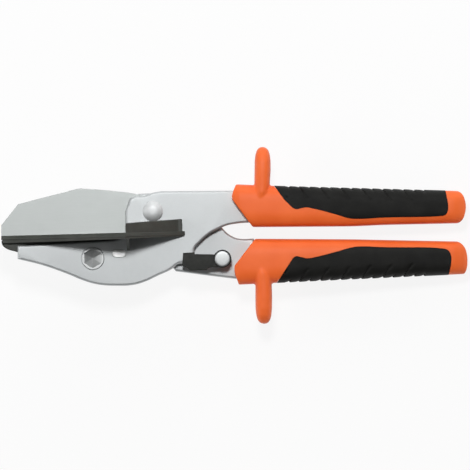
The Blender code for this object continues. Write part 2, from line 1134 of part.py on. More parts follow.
def make_latch():
    low = front_face
    high = low + latch_thickness
    latch = slab("latch", latch_outline(), low, high, latch_plastic)
    soften(latch, latch_rim)
    top = latch_eye_high()
    eye = rod("latch_eye", latch_eye_radius, latch_eye_low(), top, latch_pivot_place)
    join(latch, eye)
    hole(
        latch,
        latch_rivet_radius + clearance,
        latch_pivot_place,
        latch_eye_low() - overrun,
        top + overrun,
        small_round_sides,
    )
    hole(
        latch,
        latch_rivet_head_radius + clearance,
        latch_pivot_place,
        top - rivet_head_height - clearance,
        top + overrun,
    )
    x, y = catch_pin_place
    reach = catch_pin_radius + clearance
    roof = low + catch_pin_height + clearance
    notch = block(
        "latch_notch",
        (x - reach, y - latch_notch_low, low - overrun),
        (x + reach, y + overrun, roof),
    )
    mouth = block(
        "latch_mouth",
        (x - reach, y + latch_notch_rise, low - overrun),
        (x + latch_notch_length, y + overrun, roof),
    )
    cut(latch, notch, mouth)
    return latch


def make_latch_rivet():
    high = latch_eye_high()
    head_low = high - rivet_head_height
    tail_low = rear_face - latch_rivet_tail_height
    profile = (
        (0, high),
        (latch_rivet_head_radius - latch_rim, high),
        (latch_rivet_head_radius, high - latch_rim),
        (latch_rivet_head_radius, head_low),
        (latch_rivet_radius, head_low),
        (latch_rivet_radius, rear_face),
        (latch_rivet_tail_radius, rear_face),
        (latch_rivet_tail_radius, tail_low + latch_rim),
        (latch_rivet_tail_radius - latch_rim, tail_low),
        (0, tail_low),
    )
    return turned("latch_rivet", profile, latch_pivot_place, fastener_steel)


def make_latch_washer():
    low = rear_plate_high + clearance
    return ring(
        "latch_washer",
        latch_rivet_head_radius,
        latch_rivet_radius + clearance,
        low,
        low + latch_washer_thickness,
        latch_pivot_place,
        fastener_steel,
    )


# Grips: hard mouldings with a guard in front, and a softer pad wrapped over the palm side

grip_section_points = 24
grip_squareness = 3.4
pad_depth = 0.0018
upper_grip_top = 0.0149
upper_grip_low = 0.009
upper_grip_shares = (
    (0.0, 0.46, 0.58, 0.45),
    (0.006, 0.36, 0.83, 0.72),
    (0.018, 0.21, 0.98, 0.9),
    (0.046, -0.18, 1.0, 1.0),
    (0.076, -0.75, 0.987, 1.0),
    (0.095, -0.99, 0.98, 1.0),
    (0.18, -1.0, 0.94, 1.0),
    (0.35, -0.99, 0.886, 1.0),
    (0.512, -0.955, 0.839, 1.0),
    (0.642, -0.88, 0.812, 1.0),
    (0.806, -0.81, 0.785, 1.0),
    (0.909, -0.78, 0.765, 1.0),
    (0.948, -0.72, 0.745, 1.0),
    (0.97, -0.51, 0.617, 0.9),
    (0.986, -0.2, 0.416, 0.75),
    (0.993, 0.034, 0.242, 0.45),
)
upper_pad_shares = (
    (0.171, 1.4, corner),
    (0.18, 0.94, corner),
    (0.252, 0.168, smooth),
    (0.272, 0.071, smooth),
    (0.317, 0.138, smooth),
    (0.343, 0.097, smooth),
    (0.447, -0.222, smooth),
    (0.512, -0.467, smooth),
    (0.642, -0.389, smooth),
    (0.867, -0.3, smooth),
    (0.916, 0.022, smooth),
    (0.905, 0.752, corner),
    (0.905, 1.4, corner),
)
lower_grip_cover = 0.0065
lower_grip_top = lower_grip_cover - arm_drop * arm_tang_top_share
lower_grip_depth = 0.0256
lower_grip_shares = (
    (0.01, -0.7, -0.574, 0.45),
    (0.014, -0.82, -0.527, 0.72),
    (0.024, -0.957, -0.449, 0.9),
    (0.038, -1.0, -0.367, 1.0),
    (0.069, -0.996, -0.1875, 1.0),
    (0.099, -0.988, -0.016, 1.0),
    (0.122, -0.98, 0.0, 1.0),
    (0.187, -0.961, 0.0, 1.0),
    (0.35, -0.918, -0.004, 1.0),
    (0.512, -0.875, -0.014, 1.0),
    (0.73, -0.824, -0.031, 1.0),
    (0.905, -0.785, -0.055, 1.0),
    (0.954, -0.781, -0.07, 1.0),
    (0.976, -0.77, -0.137, 0.92),
    (0.992, -0.7, -0.27, 0.78),
    (1.0, -0.613, -0.41, 0.45),
)
lower_pad_shares = (
    (0.186, -1.3, corner),
    (0.194, -0.961, corner),
    (0.206, -0.797, smooth),
    (0.252, -0.434, smooth),
    (0.272, -0.383, smooth),
    (0.317, -0.426, smooth),
    (0.343, -0.414, smooth),
    (0.447, -0.281, smooth),
    (0.531, -0.172, smooth),
    (0.642, -0.188, smooth),
    (0.88, -0.215, smooth),
    (0.925, -0.3, smooth),
    (0.928, -0.465, smooth),
    (0.919, -0.793, corner),
    (0.919, -1.3, corner),
)
guard_setback = 0.0175
upper_guard_place = (grip_start + guard_setback, 0.021)
upper_guard_radii = (0.0046, 0.0148, 0.0115)
lower_guard_drop = 0.0315
lower_guard_place = (grip_start + guard_setback, lower_grip_top - lower_guard_drop)
lower_guard_radii = (0.00475, 0.016, 0.0115)
guard_sides = 24
guard_rings = 14


def upper_outline(shares):
    drawn = spread(shares, 0, grip_length, upper_grip_low, upper_grip_top)
    return [(grip_start + x, y, kind) for x, y, kind in drawn]


def lower_outline(shares):
    points = []
    for x, y, kind in shares:
        y = lower_grip_top + y * lower_grip_depth
        points.append((grip_start + x * grip_length, y, kind))
    return points


def upper_stations():
    stations = []
    for x, low, high, deep in upper_grip_shares:
        low = low * (upper_grip_low if low < 0 else upper_grip_top)
        high = high * upper_grip_top
        stations.append((grip_start + x * grip_length, low, high, deep))
    return stations


def lower_stations():
    stations = []
    for x, low, high, deep in lower_grip_shares:
        low = lower_grip_top + low * lower_grip_depth
        high = lower_grip_top + high * lower_grip_depth
        stations.append((grip_start + x * grip_length, low, high, deep))
    return stations


def section_point(step):
    """A point of the unit cross-section, a rounded square, as depth and height."""
    angle = math.tau * step / grip_section_points
    power = 2 / grip_squareness
    across = math.copysign(abs(math.cos(angle)) ** power, math.cos(angle))
    along = math.copysign(abs(math.sin(angle)) ** power, math.sin(angle))
    return across, along


def grip_body(name, stations, shrink, material):
    """A loft through rounded sections, with every wall moved inwards by the shrink."""
    shape = bmesh.new()
    rings = []
    for x, low, high, deep in stations:
        half = (high - low) / 2 - shrink
        depth = grip_half_depth * deep - shrink
        if half <= shrink or depth <= shrink:
            continue
        ring = []
        for step in range(grip_section_points):
            across, along = section_point(step)
            y = (high + low) / 2 + half * along
            ring.append(shape.verts.new((x, y, depth * across)))
        rings.append(ring)
    for first, second in zip(rings, rings[1:]):
        for step in range(grip_section_points):
            after = (step + 1) % grip_section_points
            shape.faces.new((first[step], first[after], second[after], second[step]))
    shape.faces.new(rings[0])
    shape.faces.new(rings[-1])
    bmesh.ops.recalc_face_normals(shape, faces=shape.faces)
    mesh = bpy.data.meshes.new(name)
    shape.to_mesh(mesh)
    shape.free()
    return add_object(name, mesh, material)


def make_guard(name, place, radii):
    shape = bmesh.new()
    bmesh.ops.create_uvsphere(
        shape, u_segments=guard_sides, v_segments=guard_rings, radius=1
    )
    bmesh.ops.scale(shape, vec=radii, verts=shape.verts)
    mesh = bpy.data.meshes.new(name)
    shape.to_mesh(mesh)
    shape.free()
    guard = add_object(name, mesh, None)
    guard.matrix_world = Matrix.Translation((*place, 0))
    return guard


def make_grip(name, stations, pad, guard, tang, low, high):
    grip = grip_body(name, stations, 0, orange_plastic)
    join(grip, guard)
    deep = grip_half_depth + overrun
    seat = slab(name + "_pad_seat", outset(pad, clearance), -deep, deep)
    core = grip_body(name + "_core", stations, pad_depth + clearance, None)
    cut(seat, core)
    cut(grip, seat)
    space = slab(
        name + "_tang_space", outset(tang, clearance), low - clearance, high + clearance
    )
    cut(grip, space)
    return grip


def make_pad(name, stations, pad):
    piece = grip_body(name, stations, 0, soft_black)
    deep = grip_half_depth + overrun
    keep_common(piece, slab(name + "_limit", pad, -deep, deep))
    cut(piece, grip_body(name + "_core", stations, pad_depth, None))
    return piece


# Assembly


def make_frame_body():
    upper = upper_stations()
    upper_pad = upper_outline(upper_pad_shares)
    guard = make_guard("upper_guard", upper_guard_place, upper_guard_radii)
    body = [
        make_frame_plate(),
        make_catch_pin(),
        make_front_spring_post(),
        make_anvil(),
        make_anvil_key(),
        make_anvil_bolt(),
        make_anvil_washer(),
        make_anvil_nut(),
        make_fence("fence_front", 1),
        make_fence("fence_back", -1),
        make_pivot_bolt(),
        make_pivot_spacer(),
        make_pivot_washer(),
        make_pivot_nut(),
        make_grip(
            "upper_grip",
            upper,
            upper_pad,
            guard,
            frame_plate_outline(),
            front_plate_low,
            front_plate_high,
        ),
        make_pad("upper_grip_pad", upper, upper_pad),
    ]
    number = 1
    for side in (1, -1):
        for place in fence_screw_places:
            body.append(make_fence_screw(number, side, place))
            number += 1
    return body


def make_blade_body():
    lower = lower_stations()
    lower_pad = lower_outline(lower_pad_shares)
    guard = make_guard("lower_guard", lower_guard_place, lower_guard_radii)
    body = [
        make_blade_arm(),
        make_rear_spring_post(),
        make_blade(),
        make_return_spring(),
        make_latch_rivet(),
        make_latch_washer(),
        make_grip(
            "lower_grip",
            lower,
            lower_pad,
            guard,
            blade_arm_outline(),
            rear_plate_low,
            rear_plate_high,
        ),
        make_pad("lower_grip_pad", lower, lower_pad),
    ]
    for number, place in enumerate(blade_screw_places, 1):
        body.append(make_blade_screw(number, place))
    return body


def new_empty(name, place, parent):
    empty = bpy.data.objects.new(name, None)
    parts.objects.link(empty)
    empty.matrix_world = Matrix.Translation(place)
    bpy.context.view_layer.update()
    if parent:
        hang(empty, parent)
    return empty


def hang(child, parent):
    child.parent = parent
    child.matrix_parent_inverse = parent.matrix_world.inverted()


def rest_place(lean):
    """Where the pivot lies once the tool rests on its rear side, centred over the origin."""
    wing = Vector((table_corner[0], 0, -table_wing_reach))
    lift = -(Matrix.Rotation(lean, 3, "Y") @ wing).z
    tip = Vector((-blade_reach, 0, blade_front))
    end = Vector((handle_reach, 0, grip_half_depth))
    left = (Matrix.Rotation(lean, 3, "Y") @ tip).x
    right = (Matrix.Rotation(lean, 3, "Y") @ end).x
    top = upper_guard_place[1] + upper_guard_radii[1]
    bottom = lower_guard_place[1] - lower_guard_radii[1]
    return Vector((-(left + right) / 2, -(top + bottom) / 2, lift))


def assemble():
    tool = new_empty("tool_rest", (0, 0, 0), None)
    blade_joint = new_empty("blade_joint", (0, 0, 0), tool)
    latch_joint = new_empty("latch_joint", (*latch_pivot_place, 0), blade_joint)
    bodies = (
        (tool, make_frame_body()),
        (blade_joint, make_blade_body()),
        (latch_joint, [make_latch()]),
    )
    bpy.context.view_layer.update()
    for parent, body in bodies:
        for piece in body:
            hang(piece, parent)
    for cutter in cutters.objects:
        hang(cutter, tool)
    drop = table_wing_reach - grip_half_depth
    lean = math.atan2(drop, handle_reach - table_corner[0])
    place = rest_place(lean)
    tool.matrix_world = Matrix.Translation(place) @ Matrix.Rotation(lean, 4, "Y")
    bpy.context.view_layer.update()
    for obj in parts.objects:
        if obj.type == "MESH":
            obj.data.shade_smooth()
            obj.data.set_sharp_from_angle(angle=math.radians(30))


assemble()
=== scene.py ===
"""Mitre shears, dressed around their solids.

Every piece is drawn in the tool's own frame: the origin on the main pivot, X towards the grips, Y towards
the upper handle and Z out of the front plate. It is then laid down with the tool. Pieces are drawn in
millimetres. The pivot's place and all that a camera, lamp, floor, material or modifier takes is in metres.
"""

import math

import bmesh
import bpy
from mathutils import Matrix, Vector


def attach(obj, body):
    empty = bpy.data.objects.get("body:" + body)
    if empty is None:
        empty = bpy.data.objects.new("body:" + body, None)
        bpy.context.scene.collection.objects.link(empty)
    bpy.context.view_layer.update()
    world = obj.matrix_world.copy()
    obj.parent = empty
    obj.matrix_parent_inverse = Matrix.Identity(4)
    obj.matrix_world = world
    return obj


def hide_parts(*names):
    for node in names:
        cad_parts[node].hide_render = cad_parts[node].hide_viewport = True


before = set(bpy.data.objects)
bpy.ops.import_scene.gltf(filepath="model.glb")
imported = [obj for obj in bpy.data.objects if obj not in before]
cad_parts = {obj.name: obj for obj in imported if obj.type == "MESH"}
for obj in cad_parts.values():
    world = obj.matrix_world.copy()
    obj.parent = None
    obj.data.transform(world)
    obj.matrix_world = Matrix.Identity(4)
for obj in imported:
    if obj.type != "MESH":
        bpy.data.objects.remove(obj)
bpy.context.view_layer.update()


# The table top and the light
# The tool lies on its rear side, on a corner of its wide cutting table and on both grip ends.
# Everything below is laid down by the same turn and shift. The floor is plain and nearly white.

pivot_point = (-0.045786, 0.0136, 0.035062)
corner_drop = 26.5
corner_to_grip_ends = 190.5
lean = math.atan2(corner_drop, corner_to_grip_ends)
laid_down = Matrix.Translation(pivot_point) @ Matrix.Rotation(lean, 4, "Y")

bpy.context.scene.view_settings.view_transform = "Standard"

camera_place = (0.0458, -0.0134, 4.0)
view_width = 0.2623
film_width = 36
camera_data = bpy.data.cameras.new("camera")
camera_data.sensor_width = film_width
camera_data.lens = film_width * camera_place[2] / view_width
camera = bpy.data.objects.new("camera", camera_data)
camera.matrix_world = laid_down @ Matrix.Translation(camera_place)
bpy.context.scene.collection.objects.link(camera)
bpy.context.scene.camera = camera

floor_reach = 3
floor_shade = (0.9, 0.9, 0.9, 1)
floor_white_share = 0.88
floor_mesh = bpy.data.meshes.new("floor")
corners = [(-1, -1), (1, -1), (1, 1), (-1, 1)]
corners = [(floor_reach * x, floor_reach * y, 0) for x, y in corners]
floor_mesh.from_pydata(corners, [], [(0, 1, 2, 3)])
floor = bpy.data.objects.new("floor", floor_mesh)
bpy.context.scene.collection.objects.link(floor)

floor_paint = bpy.data.materials.new("floor")
floor_paint.use_nodes = True
nodes = floor_paint.node_tree.nodes
links = floor_paint.node_tree.links
nodes.remove(nodes["Principled BSDF"])
matt = nodes.new("ShaderNodeBsdfDiffuse")
matt.inputs["Color"].default_value = floor_shade
white = nodes.new("ShaderNodeEmission")
white.inputs["Color"].default_value = (1, 1, 1, 1)
path = nodes.new("ShaderNodeLightPath")
seen = path.outputs["Is Camera Ray"]
for ray in ("Is Glossy Ray", "Is Transmission Ray"):
    either = nodes.new("ShaderNodeMath")
    either.operation = "MAXIMUM"
    links.new(seen, either.inputs[0])
    links.new(path.outputs[ray], either.inputs[1])
    seen = either.outputs["Value"]
share = nodes.new("ShaderNodeMath")
share.operation = "MULTIPLY"
share.inputs[1].default_value = floor_white_share
links.new(seen, share.inputs[0])
mix = nodes.new("ShaderNodeMixShader")
links.new(share.outputs["Value"], mix.inputs["Fac"])
links.new(matt.outputs["BSDF"], mix.inputs[1])
links.new(white.outputs["Emission"], mix.inputs[2])
links.new(mix.outputs["Shader"], nodes["Material Output"].inputs["Surface"])
floor_mesh.materials.append(floor_paint)

# The room is pale low down, all round the table, and dark overhead.
wall_glow = 0.9
ceiling_glow = 0.02
ceiling_start = 0.6
world = bpy.data.worlds.new("studio")
bpy.context.scene.world = world
world.use_nodes = True
nodes = world.node_tree.nodes
links = world.node_tree.links
nodes["Background"].inputs["Color"].default_value = (1, 1, 1, 1)
way = nodes.new("ShaderNodeTexCoord")
parts = nodes.new("ShaderNodeSeparateXYZ")
links.new(way.outputs["Generated"], parts.inputs["Vector"])
walls = nodes.new("ShaderNodeMapRange")
walls.inputs["From Max"].default_value = ceiling_start
walls.inputs["To Min"].default_value = wall_glow
walls.inputs["To Max"].default_value = ceiling_glow
links.new(parts.outputs["Z"], walls.inputs["Value"])
links.new(walls.outputs["Result"], nodes["Background"].inputs["Strength"])

tool_middle = laid_down @ Vector((0.04, -0.01, 0))


def soft_lamp(name, place, size, watts):
    """A square lamp in the tool's frame, in metres, facing the tool's middle."""
    data = bpy.data.lights.new(name, "AREA")
    data.shape = "SQUARE"
    data.size = size
    data.energy = watts
    lamp = bpy.data.objects.new(name, data)
    bpy.context.scene.collection.objects.link(lamp)
    start = laid_down @ Vector(place)
    turn = (start - tool_middle).to_track_quat("Z", "Y")
    lamp.matrix_world = Matrix.Translation(start) @ turn.to_matrix().to_4x4()


soft_lamp("main_lamp", place=(0.0, 0.33, 1.15), size=0.16, watts=7.5)
soft_lamp("top_lamp", place=(0.0, 1.0, 0.45), size=0.9, watts=4.0)
soft_lamp("left_lamp", place=(-0.95, -0.1, 0.5), size=0.7, watts=3.6)
soft_lamp("right_lamp", place=(0.95, 0.6, 0.5), size=0.7, watts=2.0)


# Front plate
# One 3 mm steel stamping makes the upper handle arm, the head and the lower jaw. Its rims are coined round
# and it is zinc plated, satin and slightly cloudy. The pivot bolt, the anvil bolt and the key go through it.

plate_inside = 1.55
plate_outside = 4.55
plate_rim = 1.35
front_plate_line = [
    (-75.4, -19.4, "C"), (-75.4, -26.8, "C"), (-61.4, -30.3, "S"), (-48.0, -35.0, "S"),
    (-38.1, -39.0, "S"), (-30.6, -41.0, "S"), (-19.3, -41.7, "S"), (-10.6, -41.2, "S"),
    (-4.6, -39.5, "S"), (2.9, -36.0, "S"), (10.4, -32.5, "S"), (14.0, -29.6, "S"),
    (17.0, -29.2, "C"), (21.5, -29.0, "C"), (22.8, -27.5, "S"), (23.1, -24.0, "S"),
    (23.4, -20.9, "S"), (26.4, -17.3, "S"), (31.4, -12.9, "S"), (36.4, -10.2, "S"),
    (41.3, -8.1, "S"), (46.4, -7.1, "S"), (51.3, -6.6, "C"), (60.0, -6.4, "C"),
    (103.5, -4.2, "C"), (103.5, 5.7, "C"), (65.0, 7.5, "C"), (58.2, 10.9, "C"),
    (43.4, 11.3, "C"), (4.7, 11.0, "C"), (0.0, 10.2, "S"), (-5.0, 8.5, "S"),
    (-9.5, 8.1, "S"), (-13.1, 6.4, "S"), (-13.8, 4.4, "S"), (-15.3, 0.3, "C"),
    (-15.3, -13.2, "C"), (-18.5, -15.4, "S"), (-23.0, -16.36, "C"),
]  # fmt: skip
bolt_bore = 4.3
anvil_bolt_place = (-33.5, -26.5)
anvil_bolt_recess = 6.34
catch_pin_place = (19.25, -25.95)
catch_pin_bore = 1.2
key_place = (-18.8, -23.6)
key_half_length = 3.4
key_half_width = 1.75
key_corner = (0.5, 0.45)
key_gap = 0.08
least_step = 0.01


def traced(points, steps=8):
    """Follows a closed line through the points: S runs smoothly through its point, and C is a corner."""
    curve = bpy.data.curves.new("trace", "CURVE")
    curve.dimensions = "2D"
    curve.fill_mode = "NONE"
    curve.resolution_u = steps
    spline = curve.splines.new("BEZIER")
    spline.bezier_points.add(len(points) - 1)
    for point, (x, y, kind) in zip(spline.bezier_points, points):
        point.co = (x, y, 0)
        point.handle_left_type = "AUTO" if kind == "S" else "VECTOR"
        point.handle_right_type = point.handle_left_type
    spline.use_cyclic_u = True
    drawn = bpy.data.objects.new("trace", curve)
    bpy.context.scene.collection.objects.link(drawn)
    graph = bpy.context.evaluated_depsgraph_get()
    mesh = bpy.data.meshes.new_from_object(drawn.evaluated_get(graph))
    line = [Vector(v.co.xy) for v in mesh.vertices]
    bpy.data.objects.remove(drawn)
    kept = [a for a, b in zip(line, line[1:] + line[:1]) if (a - b).length > least_step]
    area = sum(a.cross(b) for a, b in zip(kept, kept[1:] + kept[:1]))
    return kept if area > 0 else kept[::-1]


def circle(centre, radius, sides=48):
    """Points round a circle, in the direction that traced() uses."""
    return [
        Vector(centre) + radius * Vector((math.cos(a), math.sin(a)))
        for a in (math.tau * i / sides for i in range(sides))
    ]


def key_outline(gap):
    """The key's rectangle with its corners eased, grown by a gap all round."""
    length = key_half_length + gap
    width = key_half_width + gap
    corner_x = key_half_length - key_corner[0]
    corner_y = key_half_width - key_corner[1]
    lower_half = [(-length, -corner_y), (-corner_x, -width), (corner_x, -width), (length, -corner_y)]
    points = lower_half + [(-x, -y) for x, y in lower_half]
    return traced([(key_place[0] + x, key_place[1] + y, "S") for x, y in points])


def drawn_in(line, distance):
    """The closed line moved inwards by a distance, which a very sharp corner doesn't overshoot."""
    sharpest = 0.4
    moved = []
    for before, here, after in zip(line[-1:] + line[:-1], line, line[1:] + line[:1]):
        first = (here - before).normalized()
        second = (after - here).normalized()
        side = Vector((-first.y - second.y, first.x + second.x))
        moved.append(here + side * distance / max(sharpest, 1 + first.dot(second)))
    return moved


def new_piece(name, shape):
    """Makes an object from a bmesh drawn in millimetres."""
    bmesh.ops.recalc_face_normals(shape, faces=shape.faces)
    bmesh.ops.scale(shape, vec=(0.001, 0.001, 0.001), verts=shape.verts)
    mesh = bpy.data.meshes.new(name)
    shape.to_mesh(mesh)
    shape.free()
    obj = bpy.data.objects.new(name, mesh)
    bpy.context.scene.collection.objects.link(obj)
    return obj


def rim_steps(low, high, rim, count=4):
    """Height and inset of each ring round a plate whose two rims are rounded."""
    quarter = [math.pi / 2 * i / count for i in range(count + 1)]
    lower = [(low + rim * (1 - math.sin(a)), rim * (1 - math.cos(a))) for a in quarter]
    upper = [(high - rim * (1 - math.sin(a)), rim * (1 - math.cos(a))) for a in quarter]
    return lower[::-1] + upper


def wrap(shape, rings):
    """Joins each ring of points to the next with faces. A ring may be a single point."""
    for one, two in zip(rings, rings[1:]):
        sides = max(len(one), len(two))
        for i in range(sides):
            j = (i + 1) % sides
            corners = (one[i % len(one)], one[j % len(one)], two[j % len(two)], two[i % len(two)])
            shape.faces.new(list(dict.fromkeys(corners)))


def plate(name, line, low, high, rim, holes=(), hole_rim=0.2):
    """A flat piece between two heights, with rounded rims and softened holes."""
    shape = bmesh.new()
    bottoms = []
    tops = []
    for loop, radius, inward in [(line, rim, 1)] + [(h, hole_rim, -1) for h in holes]:
        rings = []
        for height, inset in rim_steps(low, high, radius):
            places = drawn_in(loop, inset * inward)
            rings.append([shape.verts.new((p.x, p.y, height)) for p in places])
        wrap(shape, rings)
        bottoms.append(rings[0])
        tops.append(rings[-1])
    for loops in (bottoms, tops):
        edges = []
        for ring in loops:
            edges += [shape.edges.get(pair) for pair in zip(ring, ring[1:] + ring[:1])]
        bmesh.ops.triangle_fill(shape, use_beauty=True, use_dissolve=False, edges=edges)
    return new_piece(name, shape)


def settled(obj):
    """Applies the modifiers of a piece."""
    graph = bpy.context.evaluated_depsgraph_get()
    mesh = bpy.data.meshes.new_from_object(obj.evaluated_get(graph))
    obj.modifiers.clear()
    obj.data = mesh


def finish_piece(obj, material, sharp=40):
    """Smooths the shading up to an angle, gives the piece its material and lays it down with the tool."""
    obj.data.shade_smooth()
    obj.data.set_sharp_from_angle(angle=math.radians(sharp))
    flatten = obj.modifiers.new("flatten", "WEIGHTED_NORMAL")
    flatten.keep_sharp = True
    settled(obj)
    obj.data.materials.clear()
    obj.data.materials.append(material)
    obj.data.transform(laid_down)


def new_material(name, metallic=0.0):
    """A material with its Principled shader, node list and link list."""
    material = bpy.data.materials.new(name)
    material.use_nodes = True
    shader = material.node_tree.nodes["Principled BSDF"]
    shader.inputs["Metallic"].default_value = metallic
    return material, shader, material.node_tree.nodes, material.node_tree.links


# Grain is a cloud of noise, sized in grains to the metre and stretched along an axis if wanted. It is shared
# by the plated, ground, moulded and rubber surfaces, which turn it into colour, roughness and height.
grain_group = bpy.data.node_groups.new("grain", "ShaderNodeTree")
grain_face = grain_group.interface
grain_face.new_socket("Scale", in_out="INPUT", socket_type="NodeSocketFloat")
grain_face.new_socket("Stretch", in_out="INPUT", socket_type="NodeSocketVector")
grain_face.new_socket("Detail", in_out="INPUT", socket_type="NodeSocketFloat")
grain_face.new_socket("Low", in_out="INPUT", socket_type="NodeSocketFloat")
grain_face.new_socket("High", in_out="INPUT", socket_type="NodeSocketFloat")
grain_face.new_socket("Mask", in_out="OUTPUT", socket_type="NodeSocketFloat")
nodes = grain_group.nodes
links = grain_group.links
inside = nodes.new("NodeGroupInput")
outside = nodes.new("NodeGroupOutput")
where = nodes.new("ShaderNodeTexCoord")
stretched = nodes.new("ShaderNodeVectorMath")
stretched.operation = "MULTIPLY"
noise = nodes.new("ShaderNodeTexNoise")
band = nodes.new("ShaderNodeMapRange")
links.new(where.outputs["Object"], stretched.inputs[0])
links.new(inside.outputs["Stretch"], stretched.inputs[1])
links.new(stretched.outputs["Vector"], noise.inputs["Vector"])
links.new(inside.outputs["Scale"], noise.inputs["Scale"])
links.new(inside.outputs["Detail"], noise.inputs["Detail"])
links.new(noise.outputs["Fac"], band.inputs["Value"])
links.new(inside.outputs["Low"], band.inputs["From Min"])
links.new(inside.outputs["High"], band.inputs["From Max"])
links.new(band.outputs["Result"], outside.inputs["Mask"])


def add_grain(nodes, scale, stretch=(1, 1, 1), detail=3.0, low=0.35, high=0.65):
    """A grain node in a material, whose mask runs from 0 to 1."""
    grain = nodes.new("ShaderNodeGroup")
    grain.node_tree = grain_group
    grain.inputs["Scale"].default_value = scale
    grain.inputs["Stretch"].default_value = stretch
    grain.inputs["Detail"].default_value = detail
    grain.inputs["Low"].default_value = low
    grain.inputs["High"].default_value = high
    return grain.outputs["Mask"]


def vary(nodes, links, mask, low, high):
    """A value that follows a mask from low to high."""
    spread = nodes.new("ShaderNodeMapRange")
    spread.inputs["To Min"].default_value = low
    spread.inputs["To Max"].default_value = high
    links.new(mask, spread.inputs["Value"])
    return spread.outputs["Result"]


def blend_colours(nodes, links, mask, low, high):
    """A colour that follows a mask from one colour to the other. Either may be another node's colour."""
    mixer = nodes.new("ShaderNodeMix")
    mixer.data_type = "RGBA"
    links.new(mask, mixer.inputs["Factor"])
    for socket, colour in ((mixer.inputs[6], low), (mixer.inputs[7], high)):
        if isinstance(colour, tuple):
            socket.default_value = (*colour, 1)
        else:
            links.new(colour, socket)
    return mixer.outputs[2]


def add_bump(nodes, links, shader, mask, depth):
    """Raises the surface by a depth in metres where the mask is 1."""
    bump = nodes.new("ShaderNodeBump")
    bump.inputs["Distance"].default_value = depth
    links.new(mask, bump.inputs["Height"])
    links.new(bump.outputs["Normal"], shader.inputs["Normal"])


plated_steel, shader, nodes, links = new_material("plated_steel", metallic=0.85)
cloud = add_grain(nodes, 130, detail=4.0)
speck = add_grain(nodes, 1500, detail=2.0, low=0.3, high=0.7)
tone = blend_colours(nodes, links, cloud, (0.505, 0.525, 0.53), (0.545, 0.565, 0.57))
tone = blend_colours(nodes, links, vary(nodes, links, speck, 0.0, 0.14), tone, (0.42, 0.44, 0.45))
links.new(tone, shader.inputs["Base Color"])
links.new(vary(nodes, links, cloud, 0.53, 0.57), shader.inputs["Roughness"])
add_bump(nodes, links, shader, speck, 0.000004)

front_plate = plate(
    "front_plate",
    traced(front_plate_line),
    plate_inside,
    plate_outside,
    plate_rim,
    holes=(
        circle((0, 0), bolt_bore),
        circle(anvil_bolt_place, anvil_bolt_recess, sides=96),
        circle(catch_pin_place, catch_pin_bore, sides=24),
        key_outline(key_gap),
    ),
)
finish_piece(front_plate, plated_steel)
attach(front_plate, "frame")
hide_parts("frame_plate")


# Rear plate
# A second stamping of the same steel makes the lower handle arm. It crosses behind the head and carries the
# blade between the two plates.

rear_plate_line = [
    (-22.0, 6.5, "S"), (-22.0, -6.0, "S"), (-14.1, -10.5, "S"), (-7.9, -14.0, "S"),
    (-2.0, -18.0, "S"), (4.0, -23.0, "S"), (8.0, -28.0, "S"), (12.8, -33.7, "C"),
    (44.6, -37.7, "S"), (50.0, -38.2, "C"), (61.9, -36.5, "C"), (104.5, -31.5, "C"),
    (104.5, -22.0, "C"), (60.0, -18.5, "C"), (57.0, -17.6, "C"), (56.2, -15.4, "C"),
    (47.9, -15.4, "S"), (44.6, -14.3, "S"), (41.6, -12.4, "S"), (37.5, -8.3, "S"),
    (27.3, -1.5, "S"), (17.9, 6.1, "S"), (8.0, 9.3, "S"), (-2.0, 9.8, "S"),
    (-12.1, 9.0, "S"),
]  # fmt: skip
latch_place = (38.8, -26.6)
rivet_bore = 2.3
spring_post_place = (12.0, -8.3)
spring_post_bore = 1.5
blade_screw_places = ((-12.6, 5.6), (-13.6, -2.0))
blade_screw_bore = 1.9
rear_plate = plate(
    "rear_plate",
    traced(rear_plate_line),
    -plate_outside,
    -plate_inside,
    plate_rim,
    holes=(
        circle((0, 0), bolt_bore),
        circle(latch_place, rivet_bore, sides=32),
        circle(spring_post_place, spring_post_bore, sides=24),
        circle(blade_screw_places[0], blade_screw_bore, sides=24),
        circle(blade_screw_places[1], blade_screw_bore, sides=24),
    ),
)
finish_piece(rear_plate, plated_steel)
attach(rear_plate, "blade_body")
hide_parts("blade_arm")


# Blade
# A flat cheek of hardened steel, 2.5 mm thick, with its lower edge ground to a wedge from both sides. The
# faces are surface ground along the blade, which leaves very fine lines in a grey satin.

blade_half = 1.25
blade_rim = 0.2
edge_half = 0.2
edge_height = -13.2
edge_slope = math.radians(1.5)
grind_height = 1.4
grind_angle = math.atan2(blade_half - edge_half, grind_height)
grind_ends = (-90, 4)
grind_run = 6.8
overrun = 4
blade_line = [
    (-84.65, -8.1, "C"), (-75.2, 3.86, "C"), (-42.2, 12.4, "C"), (-40.0, 12.6, "C"),
    (-24.0, 11.4, "S"), (-7.6, 9.1, "S"),
    (-4.0, 7.85, "C"), (-6.4, 6.05, "S"), (-8.35, 2.8, "S"), (-8.7, -1.3, "S"),
    (-7.6, -4.5, "S"), (-5.4, -6.95, "C"), (-9.0, -13.44, "C"), (-84.65, -15.42, "C"),
]  # fmt: skip

blade_steel, shader, nodes, links = new_material("blade_steel", metallic=0.85)
ground = add_grain(nodes, 900, stretch=(0.06, 1.6, 1), detail=5.0, low=0.3, high=0.7)
haze = add_grain(nodes, 90, detail=3.0)
tone = blend_colours(nodes, links, ground, (0.395, 0.415, 0.409), (0.43, 0.452, 0.445))
tone = blend_colours(nodes, links, vary(nodes, links, haze, 0.0, 0.3), tone, (0.385, 0.405, 0.4))
links.new(tone, shader.inputs["Base Color"])
links.new(vary(nodes, links, ground, 0.48, 0.55), shader.inputs["Roughness"])
add_bump(nodes, links, shader, ground, 0.000002)


